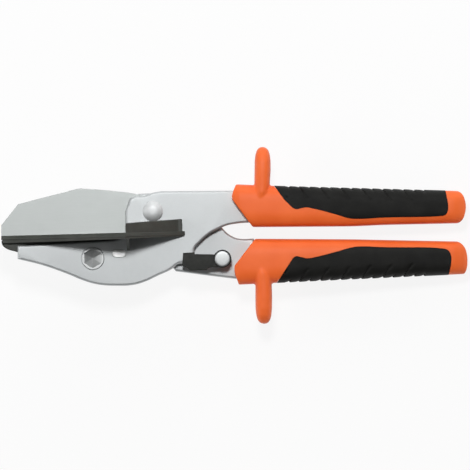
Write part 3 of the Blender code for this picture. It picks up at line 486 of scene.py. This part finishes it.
def worked(obj, tool, operation="DIFFERENCE"):
    """Cuts or joins a piece with another shape, which is used up."""
    modifier = obj.modifiers.new("work", "BOOLEAN")
    modifier.operation = operation
    modifier.solver = "EXACT"
    modifier.object = tool
    settled(obj)
    if not obj.data.polygons:
        raise ValueError(tool.name + " left nothing of " + obj.name)
    bpy.data.objects.remove(tool)


def block(name, low, high, place=None):
    """A box between two corners, in millimetres, turned and moved by a place matrix in millimetres."""
    shape = bmesh.new()
    bmesh.ops.create_cube(shape, size=1)
    middle = (Vector(low) + Vector(high)) / 2
    bmesh.ops.scale(shape, vec=Vector(high) - Vector(low), verts=shape.verts)
    bmesh.ops.translate(shape, vec=middle, verts=shape.verts)
    bmesh.ops.transform(shape, matrix=place or Matrix.Identity(4), verts=shape.verts)
    return new_piece(name, shape)


blade = plate("cutting_blade", traced(blade_line), -blade_half, blade_half, blade_rim)
for side in (1, -1):
    wedge = (
        Matrix.Translation((0, edge_height, 0))
        @ Matrix.Rotation(edge_slope, 4, "Z")
        @ Matrix.Translation((0, 0, side * edge_half))
        @ Matrix.Rotation(side * grind_angle, 4, "X")
    )
    near, far = sorted((0, side * overrun))
    low = (grind_ends[0], -overrun, near)
    high = (grind_ends[1], grind_run, far)
    worked(blade, block("grind", low, high, wedge))
finish_piece(blade, blade_steel, sharp=12)
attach(blade, "blade_body")
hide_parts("blade")


# Anvil
# A black glass-filled nylon moulding: a table shaped like a kite, seen edge-on, on a web that stands behind
# the jaw. A lip runs round its rim, a slot takes the blade's edge, and a rib holds each wing up from below.

table_place = Matrix.Translation((-15.1, -12.1, 0)) @ Matrix.Rotation(edge_slope, 4, "Z")
# Each rim point: along the table, out from the blade, and the way that the rim steps in.
table_rim = [
    (33.6, 4.26, -0.35, 0), (0.45, 37.0, -0.2, -1.3), (-58.0, 5.6, 0.2, -1.1),
    (-69.6, 4.6, 1.0, -0.9),
]  # fmt: skip
table_rim += [(x, -z, dx, -dz) for x, z, dx, dz in reversed(table_rim)]
# Each level is a depth and a step in: down from the top for the lip, and up from the underside below it.
lip_levels = [(0.0, 0.65), (0.5, 0.25), (1.9, 0.0), (2.2, 0.06), (2.3, 0.7)]
underside_levels = [(0.25, 0.6), (0.0, 0.9)]
tip_depth = 4.1
middle_depth = 3.4
tip_taper = 0.012
pivot_end_taper = 0.018
web_line = [
    (-69.4, -2.5, "C"), (-69.4, -4.2, "S"), (-68.0, -6.4, "S"), (-61.1, -9.2, "S"),
    (-45.3, -13.7, "S"), (-30.4, -20.1, "S"), (-15.5, -23.5, "S"), (-5.5, -21.8, "S"),
    (-2.4, -17.9, "S"), (-1.8, -2.5, "C"),
]  # fmt: skip
plate_clearance = 0.3
web_back = -4.5
web_front = 1.2
web_rim = 0.5
slot_ends = (-75, 5)
slot_depth = 2.07
throat_ends = (-1.4, 40)
throat_depth = 8
throat_half = plate_outside + plate_clearance
rib_ends = (0.5, 2.15)
rib_line = [(5.17, -1.9), (5.17, -8.8), (5.45, -9.6), (6.65, -9.8), (32.4, -1.9)]
sharp_rim = 0.01


def table_depth(x):
    """Thickness of the table, which grows towards the tip and falls towards the fences' far end."""
    taper = tip_taper if x < 0 else pivot_end_taper
    return min(tip_depth, middle_depth - taper * x)


table = bmesh.new()
rings = []
for depth, inset in lip_levels:
    places = [(x + dx * inset, -depth, z + dz * inset) for x, z, dx, dz in table_rim]
    rings.append([table.verts.new(p) for p in places])
for raised, inset in underside_levels:
    places = []
    for x, z, dx, dz in table_rim:
        places.append((x + dx * inset, raised - table_depth(x), z + dz * inset))
    rings.append([table.verts.new(p) for p in places])
wrap(table, rings)
table.faces.new(rings[0])
table.faces.new(rings[-1])
bmesh.ops.triangulate(table, faces=table.faces)
bmesh.ops.transform(table, matrix=table_place, verts=table.verts)
anvil = new_piece("anvil_table", table)

for name, ends, depth, half in (
    ("slot", slot_ends, slot_depth, plate_inside),
    ("throat", throat_ends, throat_depth, throat_half),
):
    worked(anvil, block(name, (ends[0], -depth, -half), (ends[1], overrun, half), table_place))
web = plate("anvil_web", traced(web_line), web_back, web_front, web_rim)
web.data.transform(Matrix.Scale(0.001, 4) @ table_place @ Matrix.Scale(1000, 4))
worked(anvil, web, "UNION")
bolt_hole = circle(anvil_bolt_place, bolt_bore)
worked(anvil, plate("bolt_hole", bolt_hole, web_back - overrun, web_front + overrun, sharp_rim))
for side in (1, -1):
    shape = bmesh.new()
    ends = [[shape.verts.new((x, y, side * z)) for z, y in rib_line] for x in rib_ends]
    for end in ends:
        shape.faces.new(end)
    wrap(shape, ends)
    bmesh.ops.transform(shape, matrix=table_place, verts=shape.verts)
    worked(anvil, new_piece("rib", shape), "UNION")


def moulded(name, tones, gloss, clouds, grains, height, cloud_detail=4.0, shine=0.5):
    """A moulded plastic or rubber. Clouds mix its two tones, and fine grains vary its gloss and height."""
    material, shader, nodes, links = new_material(name)
    shader.inputs["Specular IOR Level"].default_value = shine
    cloud = add_grain(nodes, clouds, detail=cloud_detail)
    fine = add_grain(nodes, grains, detail=2.0, low=0.3, high=0.7)
    links.new(blend_colours(nodes, links, cloud, *tones), shader.inputs["Base Color"])
    links.new(vary(nodes, links, fine, *gloss), shader.inputs["Roughness"])
    add_bump(nodes, links, shader, fine, height)
    return material


moulded_black = moulded(
    "moulded_black",
    tones=((0.0255, 0.0285, 0.0228), (0.039, 0.043, 0.0345)),
    gloss=(0.42, 0.58),
    clouds=160,
    grains=3200,
    height=0.00002,
)
finish_piece(anvil, moulded_black, sharp=30)
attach(anvil, "frame")
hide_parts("anvil")


# Fences
# Two solid black blocks screwed down on the table from below, one each side of the blade. The end that faces
# the open jaw is square to the blade, and the far side runs back at 45 degrees.

fence_line = [(0.4, 4.95), (0.4, 35.4), (29.0, 6.95), (31.6, 6.95), (31.6, 4.95)]
fence_seat = -0.25
fence_height = 5.3
fence_rise = 0.0505
fence_rounding = 0.7
for name, side in (("front", 1), ("back", -1)):
    shape = bmesh.new()
    low = [shape.verts.new((x, fence_seat, side * z)) for x, z in fence_line]
    high = [shape.verts.new((x, fence_height + fence_rise * x, side * z)) for x, z in fence_line]
    shape.faces.new(low)
    shape.faces.new(high)
    wrap(shape, (low, high))
    bmesh.ops.recalc_face_normals(shape, faces=shape.faces)
    soft = [e for e in shape.edges if max(v.co.y for v in e.verts) > fence_seat]
    bmesh.ops.bevel(
        shape,
        geom=soft,
        offset=fence_rounding,
        segments=4,
        profile=0.5,
        affect="EDGES",
        clamp_overlap=True,
    )
    bmesh.ops.transform(shape, matrix=table_place, verts=shape.verts)
    fence = new_piece("fence_block_" + name, shape)
    finish_piece(fence, moulded_black, sharp=25)
    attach(fence, "frame")
    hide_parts("fence_" + name)


# Pivot
# An M8 bolt with a low plated dome holds the two plates, with a washer and a nut behind. A turned spacer
# keeps the plates apart, and the return spring is wound round it.

head_seat = plate_outside + plate_clearance
washer_edge = 0.2
thread_radius = 4.0
dome_radius = 5.6
dome_top = 7.7
dome_fall = 2.1
dome_steps = 16
spacer_half = 1.2
spacer_radius = 5.9
pivot_bolt_tip = -11.4
pivot_washer_radius = 6.6
pivot_washer_thickness = 1.0
pivot_nut_radius = 6.2
pivot_nut_front = -6.15
pivot_nut_back = -10.15


def rubbed_steel(name, metallic, tones, gloss, grains):
    """Bright steel with one fine rubbed grain in its two tones, its gloss and its height."""
    material, shader, nodes, links = new_material(name, metallic)
    rub = add_grain(nodes, grains, detail=5.0)
    links.new(blend_colours(nodes, links, rub, *tones), shader.inputs["Base Color"])
    links.new(vary(nodes, links, rub, *gloss), shader.inputs["Roughness"])
    add_bump(nodes, links, shader, rub, 0.000003)
    return material


fastener_steel = rubbed_steel(
    "fastener_steel",
    metallic=0.9,
    tones=((0.48, 0.495, 0.495), (0.55, 0.565, 0.565)),
    gloss=(0.46, 0.54),
    grains=700,
)
bright_zinc = rubbed_steel(
    "bright_zinc",
    metallic=0.5,
    tones=((0.64, 0.655, 0.66), (0.69, 0.705, 0.71)),
    gloss=(0.53, 0.59),
    grains=600,
)


def turned(name, profile, at=(0, 0), sides=64):
    """A turned piece. The profile gives radius and height, from its top on the axis down to its bottom."""
    shape = bmesh.new()
    rings = []
    for radius, height in profile:
        places = circle(at, radius, sides) if radius else [Vector(at)]
        rings.append([shape.verts.new((p.x, p.y, height)) for p in places])
    wrap(shape, rings)
    return new_piece(name, shape)


def threaded_end(tip):
    """Profile of an M8 thread's end, with a groove, down to its tip."""
    return [
        (thread_radius, tip + 2.1), (3.6, tip + 1.7), (thread_radius, tip + 1.3),
        (thread_radius, tip + 0.5), (3.5, tip), (0, tip),
    ]  # fmt: skip


def washer(name, bore, radius, top, thickness, edge=0.0, at=(0, 0)):
    """A turned ring with a straight bore, its outer edges square or eased."""
    bottom = top - thickness
    outside = [(radius, top), (radius, bottom)]
    if edge:
        outside = [
            (radius - edge, top), (radius, top - edge), (radius, bottom + edge),
            (radius - edge, bottom),
        ]  # fmt: skip
    return turned(name, [(bore, top)] + outside + [(bore, bottom), (bore, top)], at)


def six_sided(name, low_radius, high_radius, low, high, at):
    """A hexagon bar or point between two heights."""
    shape = bmesh.new()
    bmesh.ops.create_cone(
        shape, cap_ends=True, segments=6, radius1=low_radius, radius2=high_radius, depth=high - low
    )
    bmesh.ops.translate(shape, vec=(*at, (high + low) / 2), verts=shape.verts)
    return new_piece(name, shape)


def nut(name, radius, low, high, at=(0, 0)):
    """A hexagon nut with chamfered corners and a countersunk bore."""
    face = radius * 0.88
    girth = radius + 0.15
    chamfer = 0.8
    sink = 0.6
    profile = [
        (bolt_bore + sink, high), (face, high), (girth, high - chamfer), (girth, low + chamfer),
        (face, low), (bolt_bore + sink, low), (bolt_bore, low + sink),
        (bolt_bore, high - sink), (bolt_bore + sink, high),
    ]  # fmt: skip
    body = turned(name, profile, at, sides=96)
    hexagon = six_sided("hexagon", radius, radius, low - overrun, high + overrun, at)
    worked(body, hexagon, "INTERSECT")
    return body


dome = []
for i in range(dome_steps + 1):
    share = i / dome_steps
    dome.append((dome_radius * share, dome_top - dome_fall * share**3))
dome += [
    (dome_radius - 0.05, head_seat + 0.1), (dome_radius - 0.15, head_seat), (thread_radius, head_seat),
]  # fmt: skip
pivot_bolt = turned("pivot_head", dome + threaded_end(pivot_bolt_tip))
finish_piece(pivot_bolt, bright_zinc)
pivot_spacer = washer("spacer_sleeve", bolt_bore, spacer_radius, spacer_half, 2 * spacer_half)
finish_piece(pivot_spacer, fastener_steel)
pivot_washer = washer(
    "pivot_disc", bolt_bore, pivot_washer_radius, -head_seat, pivot_washer_thickness, washer_edge
)
finish_piece(pivot_washer, fastener_steel)
pivot_nut = nut("pivot_hex_nut", pivot_nut_radius, pivot_nut_back, pivot_nut_front)
finish_piece(pivot_nut, fastener_steel, sharp=25)
for piece, node in (
    (pivot_bolt, "pivot_bolt"),
    (pivot_spacer, "pivot_spacer"),
    (pivot_washer, "pivot_washer"),
    (pivot_nut, "pivot_nut"),
):
    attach(piece, "frame")
    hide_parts(node)


# Anvil bolt and key
# A socket head bolt sits in a recess of the jaw and clamps the web, with a washer and nut behind. Beside it
# a bright pressed key fills its slot, so that the moulding can't turn.

anvil_head = [(0, 5.0), (5.95, 5.0), (6.2, 4.9), (6.3, 4.6), (6.3, 1.35), (thread_radius, 1.35)]
anvil_bolt_tip = -11.6
anvil_washer_radius = 8.0
anvil_washer_thickness = 1.2
anvil_nut_radius = 7.5
anvil_nut_front = -6.35
anvil_nut_back = -11.35
socket_radius = 5.77
socket_heights = (2.4, 8.4)
drill_point_radii = (0.3, 5.5)
drill_point_heights = (0.35, 2.45)
key_back = 1.85
key_front = 4.6
key_rim = 0.15

anvil_head += threaded_end(anvil_bolt_tip)
anvil_bolt = turned("anvil_bolt_head", anvil_head, anvil_bolt_place, sides=96)
for name, radii, heights in (
    ("socket", (socket_radius, socket_radius), socket_heights),
    ("socket_point", drill_point_radii, drill_point_heights),
):
    worked(anvil_bolt, six_sided(name, *radii, *heights, anvil_bolt_place))
finish_piece(anvil_bolt, fastener_steel, sharp=15)
anvil_washer = washer(
    "anvil_disc",
    bolt_bore,
    anvil_washer_radius,
    -head_seat,
    anvil_washer_thickness,
    washer_edge,
    anvil_bolt_place,
)
finish_piece(anvil_washer, fastener_steel)
anvil_nut = nut("anvil_hex_nut", anvil_nut_radius, anvil_nut_back, anvil_nut_front, anvil_bolt_place)
finish_piece(anvil_nut, fastener_steel, sharp=25)

# The key is polished steel, but its colour is painted far lighter than polished steel is. This painted
# highlight keeps the key bright even where the wing's shadow falls on it.
polished_steel_painted_bright = rubbed_steel(
    "polished_steel_painted_bright",
    metallic=0.9,
    tones=((0.86, 0.87, 0.865), (0.93, 0.935, 0.93)),
    gloss=(0.36, 0.46),
    grains=800,
)
key = plate("bright_key", key_outline(0), key_back, key_front, key_rim)
finish_piece(key, polished_steel_painted_bright)
for piece, node in (
    (anvil_bolt, "anvil_bolt"),
    (anvil_washer, "anvil_washer"),
    (anvil_nut, "anvil_nut"),
    (key, "anvil_key"),
):
    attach(piece, "frame")
    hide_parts(node)


# Latch
# A small black moulded lever turns on a shouldered rivet in the rear plate. Its underside has a notch that
# drops over a pin of the front plate and holds the tool shut, and the thumb lifts it by the pad below.

latch_back = plate_outside + plate_clearance
latch_front = 8.4
latch_rim = 0.5
eye_radius = 5.0
eye_edge = 0.15
eye_front = 8.85
eye_back = -0.15
recess_radius = 4.6
recess_floor = 7.35
notch_half = 1.2
notch_height = 6.75
notch_reach = 6.0
notch_low = -1.15
mouth_low = 0.9
mouth_end = 5.2
groove_ends = (-6.1, -5.7)
groove_floor = 8.2
latch_line = [
    (-21.9, 3.3, "C"), (-15.7, 3.6, "C"), (-15.5, 2.6, "C"), (-4.2, 2.4, "C"),
    (0.0, 2.4, "C"), (0.0, -4.6, "C"), (-5.4, -4.75, "C"), (-7.9, -5.4, "S"),
    (-8.8, -6.55, "C"), (-17.9, -6.55, "C"), (-19.4, -5.5, "C"), (-22.5, -3.6, "C"),
]  # fmt: skip
latch_line = [(latch_place[0] + x, latch_place[1] + y, kind) for x, y, kind in latch_line]
latch = plate("latch_lever", traced(latch_line), latch_back, latch_front, latch_rim)
eye = [
    (0, eye_front), (eye_radius - eye_edge, eye_front), (eye_radius, eye_front - eye_edge),
    (eye_radius, eye_back), (0, eye_back),
]  # fmt: skip
worked(latch, turned("latch_eye", eye, latch_place), "UNION")
bore_top = eye_front + overrun
bore_bottom = eye_back - overrun
bore = [
    (0, bore_top), (recess_radius, bore_top), (recess_radius, recess_floor),
    (rivet_bore, recess_floor), (rivet_bore, bore_bottom), (0, bore_bottom),
]  # fmt: skip
worked(latch, turned("bore", bore, latch_place))
pin_x, pin_y = catch_pin_place
notch_start = pin_x - notch_half
notch_top = pin_y + notch_reach
for name, end, low in (("notch", notch_half, notch_low), ("mouth", mouth_end, mouth_low)):
    worked(latch, block(name, (notch_start, pin_y + low, 0), (pin_x + end, notch_top, notch_height)))
low = (latch_place[0] + groove_ends[0], latch_place[1] - 3 * overrun, groove_floor)
high = (latch_place[0] + groove_ends[1], latch_place[1] + 3 * overrun, groove_floor + overrun)
worked(latch, block("groove", low, high))
latch_black = moulded(
    "latch_black",
    tones=((0.01, 0.011, 0.009), (0.019, 0.02, 0.017)),
    gloss=(0.42, 0.56),
    clouds=260,
    grains=3000,
    height=0.00002,
    shine=0.25,
)
finish_piece(latch, latch_black, sharp=30)
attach(latch, "latch_body")
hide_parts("latch")

rivet_line = [
    (0, 8.85), (1.6, 8.84), (3.1, 8.8), (3.8, 8.74), (4.2, 8.62), (4.42, 8.4), (4.5, 8.1),
    (4.5, 7.65), (2.0, 7.65), (2.0, -4.85), (3.2, -4.85), (3.4, -5.1), (3.4, -5.7),
    (3.0, -6.05), (0, -6.05),
]  # fmt: skip
rivet_washer_radius = 4.1
rivet_washer_top = -0.45
rivet_washer_thickness = 0.8
rivet = turned("rivet_head", rivet_line, latch_place)
finish_piece(rivet, fastener_steel)
rivet_washer = washer(
    "rivet_disc",
    rivet_bore,
    rivet_washer_radius,
    rivet_washer_top,
    rivet_washer_thickness,
    at=latch_place,
)
finish_piece(rivet_washer, fastener_steel)
for piece, node in ((rivet, "latch_rivet"), (rivet_washer, "latch_washer")):
    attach(piece, "blade_body")
    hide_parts(node)


# Return spring
# One and a half turns of 0.8 mm spring wire round the spacer. Each leg hooks under a post, one on each
# plate, and the spring throws the jaw open once the latch is off.

spring_steel, shader, nodes, links = new_material("spring_steel", metallic=1.0)
drawn = add_grain(nodes, 1500, detail=4.0)
tone = blend_colours(nodes, links, drawn, (0.28, 0.28, 0.29), (0.4, 0.4, 0.41))
links.new(tone, shader.inputs["Base Color"])
links.new(vary(nodes, links, drawn, 0.28, 0.42), shader.inputs["Roughness"])


def lofted(name, shape, rings):
    """A piece wrapped round its rings and closed at both ends."""
    wrap(shape, rings)
    shape.faces.new(rings[0])
    shape.faces.new(rings[-1])
    return new_piece(name, shape)


wire_radius = 0.4
wire_sides = 12
coil_radius = 7.4
coil_depth = 1.7
coil_steps = 72
first_leg_angle = 85
coil_turn = 550
leg_length = 14.5
start_angle = math.radians(first_leg_angle)
end_angle = start_angle + math.radians(coil_turn)
coil = []
for i in range(coil_steps + 1):
    share = i / coil_steps
    angle = start_angle + (end_angle - start_angle) * share
    height = coil_depth * (0.5 - share)
    coil.append(Vector((coil_radius * math.cos(angle), coil_radius * math.sin(angle), height)))
start_way = Vector((math.sin(start_angle), -math.cos(start_angle), 0))
end_way = Vector((-math.sin(end_angle), math.cos(end_angle), 0))
wire = [coil[0] + start_way * leg_length] + coil + [coil[-1] + end_way * leg_length]
shape = bmesh.new()
rings = []
for i, here in enumerate(wire):
    way = (wire[min(i + 1, len(wire) - 1)] - wire[max(i - 1, 0)]).normalized()
    side = way.cross(Vector((0, 0, 1))).normalized()
    up = side.cross(way)
    ring = []
    for p in circle((0, 0), wire_radius, wire_sides):
        ring.append(shape.verts.new(here + side * p.x + up * p.y))
    rings.append(ring)
spring = lofted("spring_wire", shape, rings)
finish_piece(spring, spring_steel)
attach(spring, "blade_body")
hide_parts("return_spring")


# Small fasteners
# The spring's posts, the catch pin and the screws of the fences and the blade are turned from plain steel,
# and pressed or screwed in. They keep their solids and take the finish of the other fasteners.

for name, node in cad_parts.items():
    if name.startswith(("fence_screw", "blade_screw", "spring_post", "catch_pin")):
        node.data.materials.clear()
        node.data.materials.append(fastener_steel)


# Grips
# Each grip is a hard orange moulding round the end of its plate, with an oval guard that stops the hand.
# A soft black pad is moulded into a seat on it, and its palm side has slanted grooves.

grip_half_depth = 11
nose_end = 50
nose_slope = 0.05
heel_start = 166
heel_length = 9.5
heel_share = 0.75
heel_least_share = 0.05
handle_squareness = 3.4
guard_squareness = 3.2
rounding_shifts = [4.0 * i / 3 for i in range(-3, 4)]


def along(points, x):
    """Height at x of a line through the points, straight between them and a little rounded at each."""

    def straight(place):
        if place <= points[0][0]:
            (a, b), (c, d) = points[0], points[1]
        elif place >= points[-1][0]:
            (a, b), (c, d) = points[-2], points[-1]
        else:
            for (a, b), (c, d) in zip(points, points[1:]):
                if a <= place <= c:
                    break
        return b + (d - b) * (place - a) / (c - a)

    return sum(straight(x + shift) for shift in rounding_shifts) / len(rounding_shifts)


def section(sides, squareness):
    """Points of a rounded cross-section: depth and height, each from -1 to 1."""
    points = []
    for step in range(sides):
        angle = math.tau * (step + 0.5) / sides
        across = math.copysign(abs(math.cos(angle)) ** (2 / squareness), math.cos(angle))
        up = math.copysign(abs(math.sin(angle)) ** (2 / squareness), math.sin(angle))
        points.append((across, up))
    return points


def handle_form(name, top, bottom, start, end, spacing, sides, swell, push_at=None):
    """A loft along a handle between its top and bottom lines, swollen outwards by a distance."""
    shape = bmesh.new()
    rings = []
    steps = round((end - start) / spacing)
    for i in range(steps + 1):
        x = start + (end - start) * i / steps
        high = along(top, x) + swell
        low = along(bottom, x) - swell
        half = (high - low) / 2
        depth = grip_half_depth
        if x > heel_start:
            fall = heel_share * ((x - heel_start) / heel_length) ** 2
            depth *= math.sqrt(max(heel_least_share, 1 - fall))
        if x < nose_end:
            depth -= nose_slope * (nose_end - x) ** 2
        ring = []
        for across, up in section(sides, handle_squareness):
            push = push_at(x, up, half) if push_at else 0
            y = (high + low) / 2 + (half + push) * up
            ring.append(shape.verts.new((x, y, (depth + swell + push) * across)))
        rings.append(ring)
    return lofted(name, shape, rings)


def guard_form(name, levels):
    """A paddle stacked from rounded sections: height, half width, half depth and middle."""
    shape = bmesh.new()
    rings = []
    for height, wide, deep, middle in levels:
        ring = []
        for across, up in section(40, guard_squareness):
            ring.append(shape.verts.new((middle + wide * across, height, deep * up)))
        rings.append(ring)
    return lofted(name, shape, rings)


def flat_tool(name, points, inset=0.0):
    """A straight-sided cutter through the whole depth of a grip."""
    reach = grip_half_depth + overrun
    return plate(name, drawn_in(traced(points), inset), -reach, reach, sharp_rim)


grip_ends = {
    "upper": {
        "body": "frame",
        "top": [(46.4, 14.9), (67.7, 14.0), (163.4, 11.4), (169.6, 11.2)],
        "bottom": [(55.8, -9.0), (111.3, -8.6), (128.3, -7.8), (168.5, -6.9)],
        "cut": [
            (46.2, 19, "C"), (46.2, 14.7, "C"), (44.1, 8.6, "S"), (44.1, 6.6, "C"),
            (55.9, -9.2, "C"), (58, -13, "C"), (167.6, -13, "C"), (167.8, -7.4, "C"),
            (170.6, -6.6, "S"), (172.8, -4.5, "S"), (173.9, -1.6, "S"), (174.5, 2.2, "S"),
            (173.9, 6.2, "S"), (172.4, 9.4, "S"), (170.2, 11.1, "S"), (167.8, 11.8, "C"),
            (167.6, 19, "C"),
        ],
        "guard": [
            (35.75, 0.5, 1.5, 61.1), (35.45, 1.5, 4.6, 61.1), (34.8, 2.5, 7.0, 61.15),
            (33.5, 3.4, 8.9, 61.2), (31.3, 4.05, 10.3, 61.2), (28.0, 4.45, 11.2, 61.2),
            (23.0, 4.5, 11.5, 61.2), (18.0, 4.4, 11.5, 61.0), (14.0, 4.3, 11.5, 60.9),
            (10.5, 3.9, 11.6, 60.6), (7.5, 2.4, 11.0, 59.8), (5.5, 1.0, 9.0, 59.2),
        ],
        "pad": [
            (67.5, 20, "C"), (67.6, 14.2, "C"), (76.6, 3.1, "S"), (79.7, 1.1, "S"),
            (82.5, 1.6, "S"), (85.7, 2.1, "S"), (89.1, 1.5, "S"), (102.7, -2.0, "S"),
            (109.0, -3.9, "S"), (113.0, -4.3, "S"), (128.3, -3.6, "S"), (160.0, -2.75, "S"),
            (162.8, -2.1, "S"), (164.1, 0.0, "S"), (164.3, 3.0, "S"), (162.9, 11.3, "C"),
            (162.5, 20, "C"),
        ],
        "palm": 1,
        "groove": 0.6,
    },
    "lower": {
        "body": "blade_body",
        "top": [(57.1, -15.5), (111.3, -15.8), (169.4, -17.0)],
        "bottom": [(48.5, -41.1), (68.6, -40.1), (164.7, -35.6), (172.8, -35.2)],
        "cut": [
            (48.6, -45, "C"), (47.9, -41.0, "C"), (45.5, -33.2, "S"), (45.5, -30.6, "C"),
            (57.1, -15.4, "C"), (60, -11, "C"), (168, -11, "C"), (168.2, -16.4, "C"),
            (171.6, -17.9, "S"), (174.0, -20.7, "S"), (175.1, -24.2, "S"), (175.4, -28.0, "S"),
            (175.1, -31.6, "S"), (174.1, -34.4, "S"), (172.2, -36.0, "S"), (169.0, -36.6, "C"),
            (168.8, -45, "C"),
        ],
        "guard": [
            (-62.95, 0.5, 1.5, 62.1), (-62.65, 1.6, 4.6, 62.1), (-62.0, 2.6, 7.0, 62.0),
            (-60.7, 3.5, 8.9, 61.95), (-58.4, 4.2, 10.4, 61.9), (-54.5, 4.6, 11.2, 61.85),
            (-48.0, 4.7, 11.5, 61.85), (-43.0, 4.6, 11.5, 61.8), (-38.5, 4.4, 11.5, 61.6),
            (-34.5, 3.9, 11.6, 61.2), (-31.6, 2.4, 11.0, 60.2), (-29.5, 1.0, 9.0, 59.6),
        ],
        "pad": [
            (69.3, -46, "C"), (69.3, -40.1, "C"), (77.3, -27.6, "C"), (78.3, -26.3, "S"),
            (79.8, -25.4, "S"), (82.6, -25.8, "S"), (86.0, -26.5, "S"), (89.6, -26.0, "S"),
            (102.7, -22.7, "S"), (111.5, -20.3, "S"), (116.0, -19.9, "S"), (128.3, -20.3, "S"),
            (161.0, -21.0, "S"), (164.4, -22.0, "S"), (165.9, -24.8, "S"), (166.0, -28.5, "S"),
            (164.7, -35.6, "C"), (164.7, -46, "C"),
        ],
        "palm": -1,
        "groove": 0.85,
    },
}  # fmt: skip

orange_plastic = moulded(
    "orange_plastic",
    tones=((0.88, 0.14, 0.023), (0.93, 0.16, 0.031)),
    gloss=(0.44, 0.56),
    clouds=60,
    grains=2600,
    height=0.000015,
    cloud_detail=3.0,
    shine=0.3,
)
soft_black = moulded(
    "soft_black",
    tones=((0.0052, 0.0052, 0.0046), (0.009, 0.009, 0.008)),
    gloss=(0.52, 0.68),
    clouds=110,
    grains=3600,
    height=0.00002,
    shine=0.17,
)

grooves_start = 74
grooves_end = 152
groove_pitch = 5.8
groove_slant = 0.75
first_groove = 76
long_groove = 7.5
short_groove = 2.0
groove_fade = 1.2
groove_sharpness = 4


def scallops(palm, depth):
    """Shallow grooves across the palm side. Every other one runs on down the faces on a slant."""

    def push(x, up, half):
        if x < grooves_start or x > grooves_end:
            return 0.0
        below = (1 - up * palm) * half
        place = (x - first_groove - groove_slant * below) / groove_pitch
        length = long_groove if math.floor(place) % 2 == 0 else short_groove
        fade = min(1, max(0, (length - below) / groove_fade))
        return -depth * (place % 1) ** groove_sharpness * fade

    return push


grip_run = (40.5, 178)
pad_run = (50, 172)
ring_spacing = 2.5
pad_ring_spacing = 0.6
seat_gap = 0.17
seat_depth = 2.0
pad_depth = 1.8
pad_swell = 0.12
blend_size = 0.0005


def core(lines, depth):
    """The heart of a grip, a depth inside its outside, which leaves only a skin of what it is cut from."""
    return handle_form("core", *lines, *pad_run, ring_spacing, sides=48, swell=-depth)


for name, grip in grip_ends.items():
    lines = (grip["top"], grip["bottom"])
    body = handle_form(name + "_hard_grip", *lines, *grip_run, ring_spacing, sides=64, swell=0)
    worked(body, flat_tool("cut", grip["cut"]), "INTERSECT")
    worked(body, guard_form("guard", grip["guard"]), "UNION")
    remesh = body.modifiers.new("blend", "REMESH")
    remesh.mode = "VOXEL"
    remesh.voxel_size = blend_size
    ease = body.modifiers.new("ease", "SMOOTH")
    ease.factor = 0.5
    ease.iterations = 5
    settled(body)
    seat = flat_tool("seat", grip["pad"], -seat_gap)
    worked(seat, core(lines, seat_depth))
    worked(body, seat)
    finish_piece(body, orange_plastic, sharp=50)
    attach(body, grip["body"])
    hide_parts(name + "_grip")

    pad = handle_form(
        name + "_soft_pad",
        *lines,
        *pad_run,
        pad_ring_spacing,
        sides=120,
        swell=pad_swell,
        push_at=scallops(grip["palm"], grip["groove"]),
    )
    worked(pad, flat_tool("limit", grip["pad"]), "INTERSECT")
    worked(pad, core(lines, pad_depth))
    finish_piece(pad, soft_black, sharp=50)
    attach(pad, grip["body"])
    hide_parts(name + "_grip_pad")
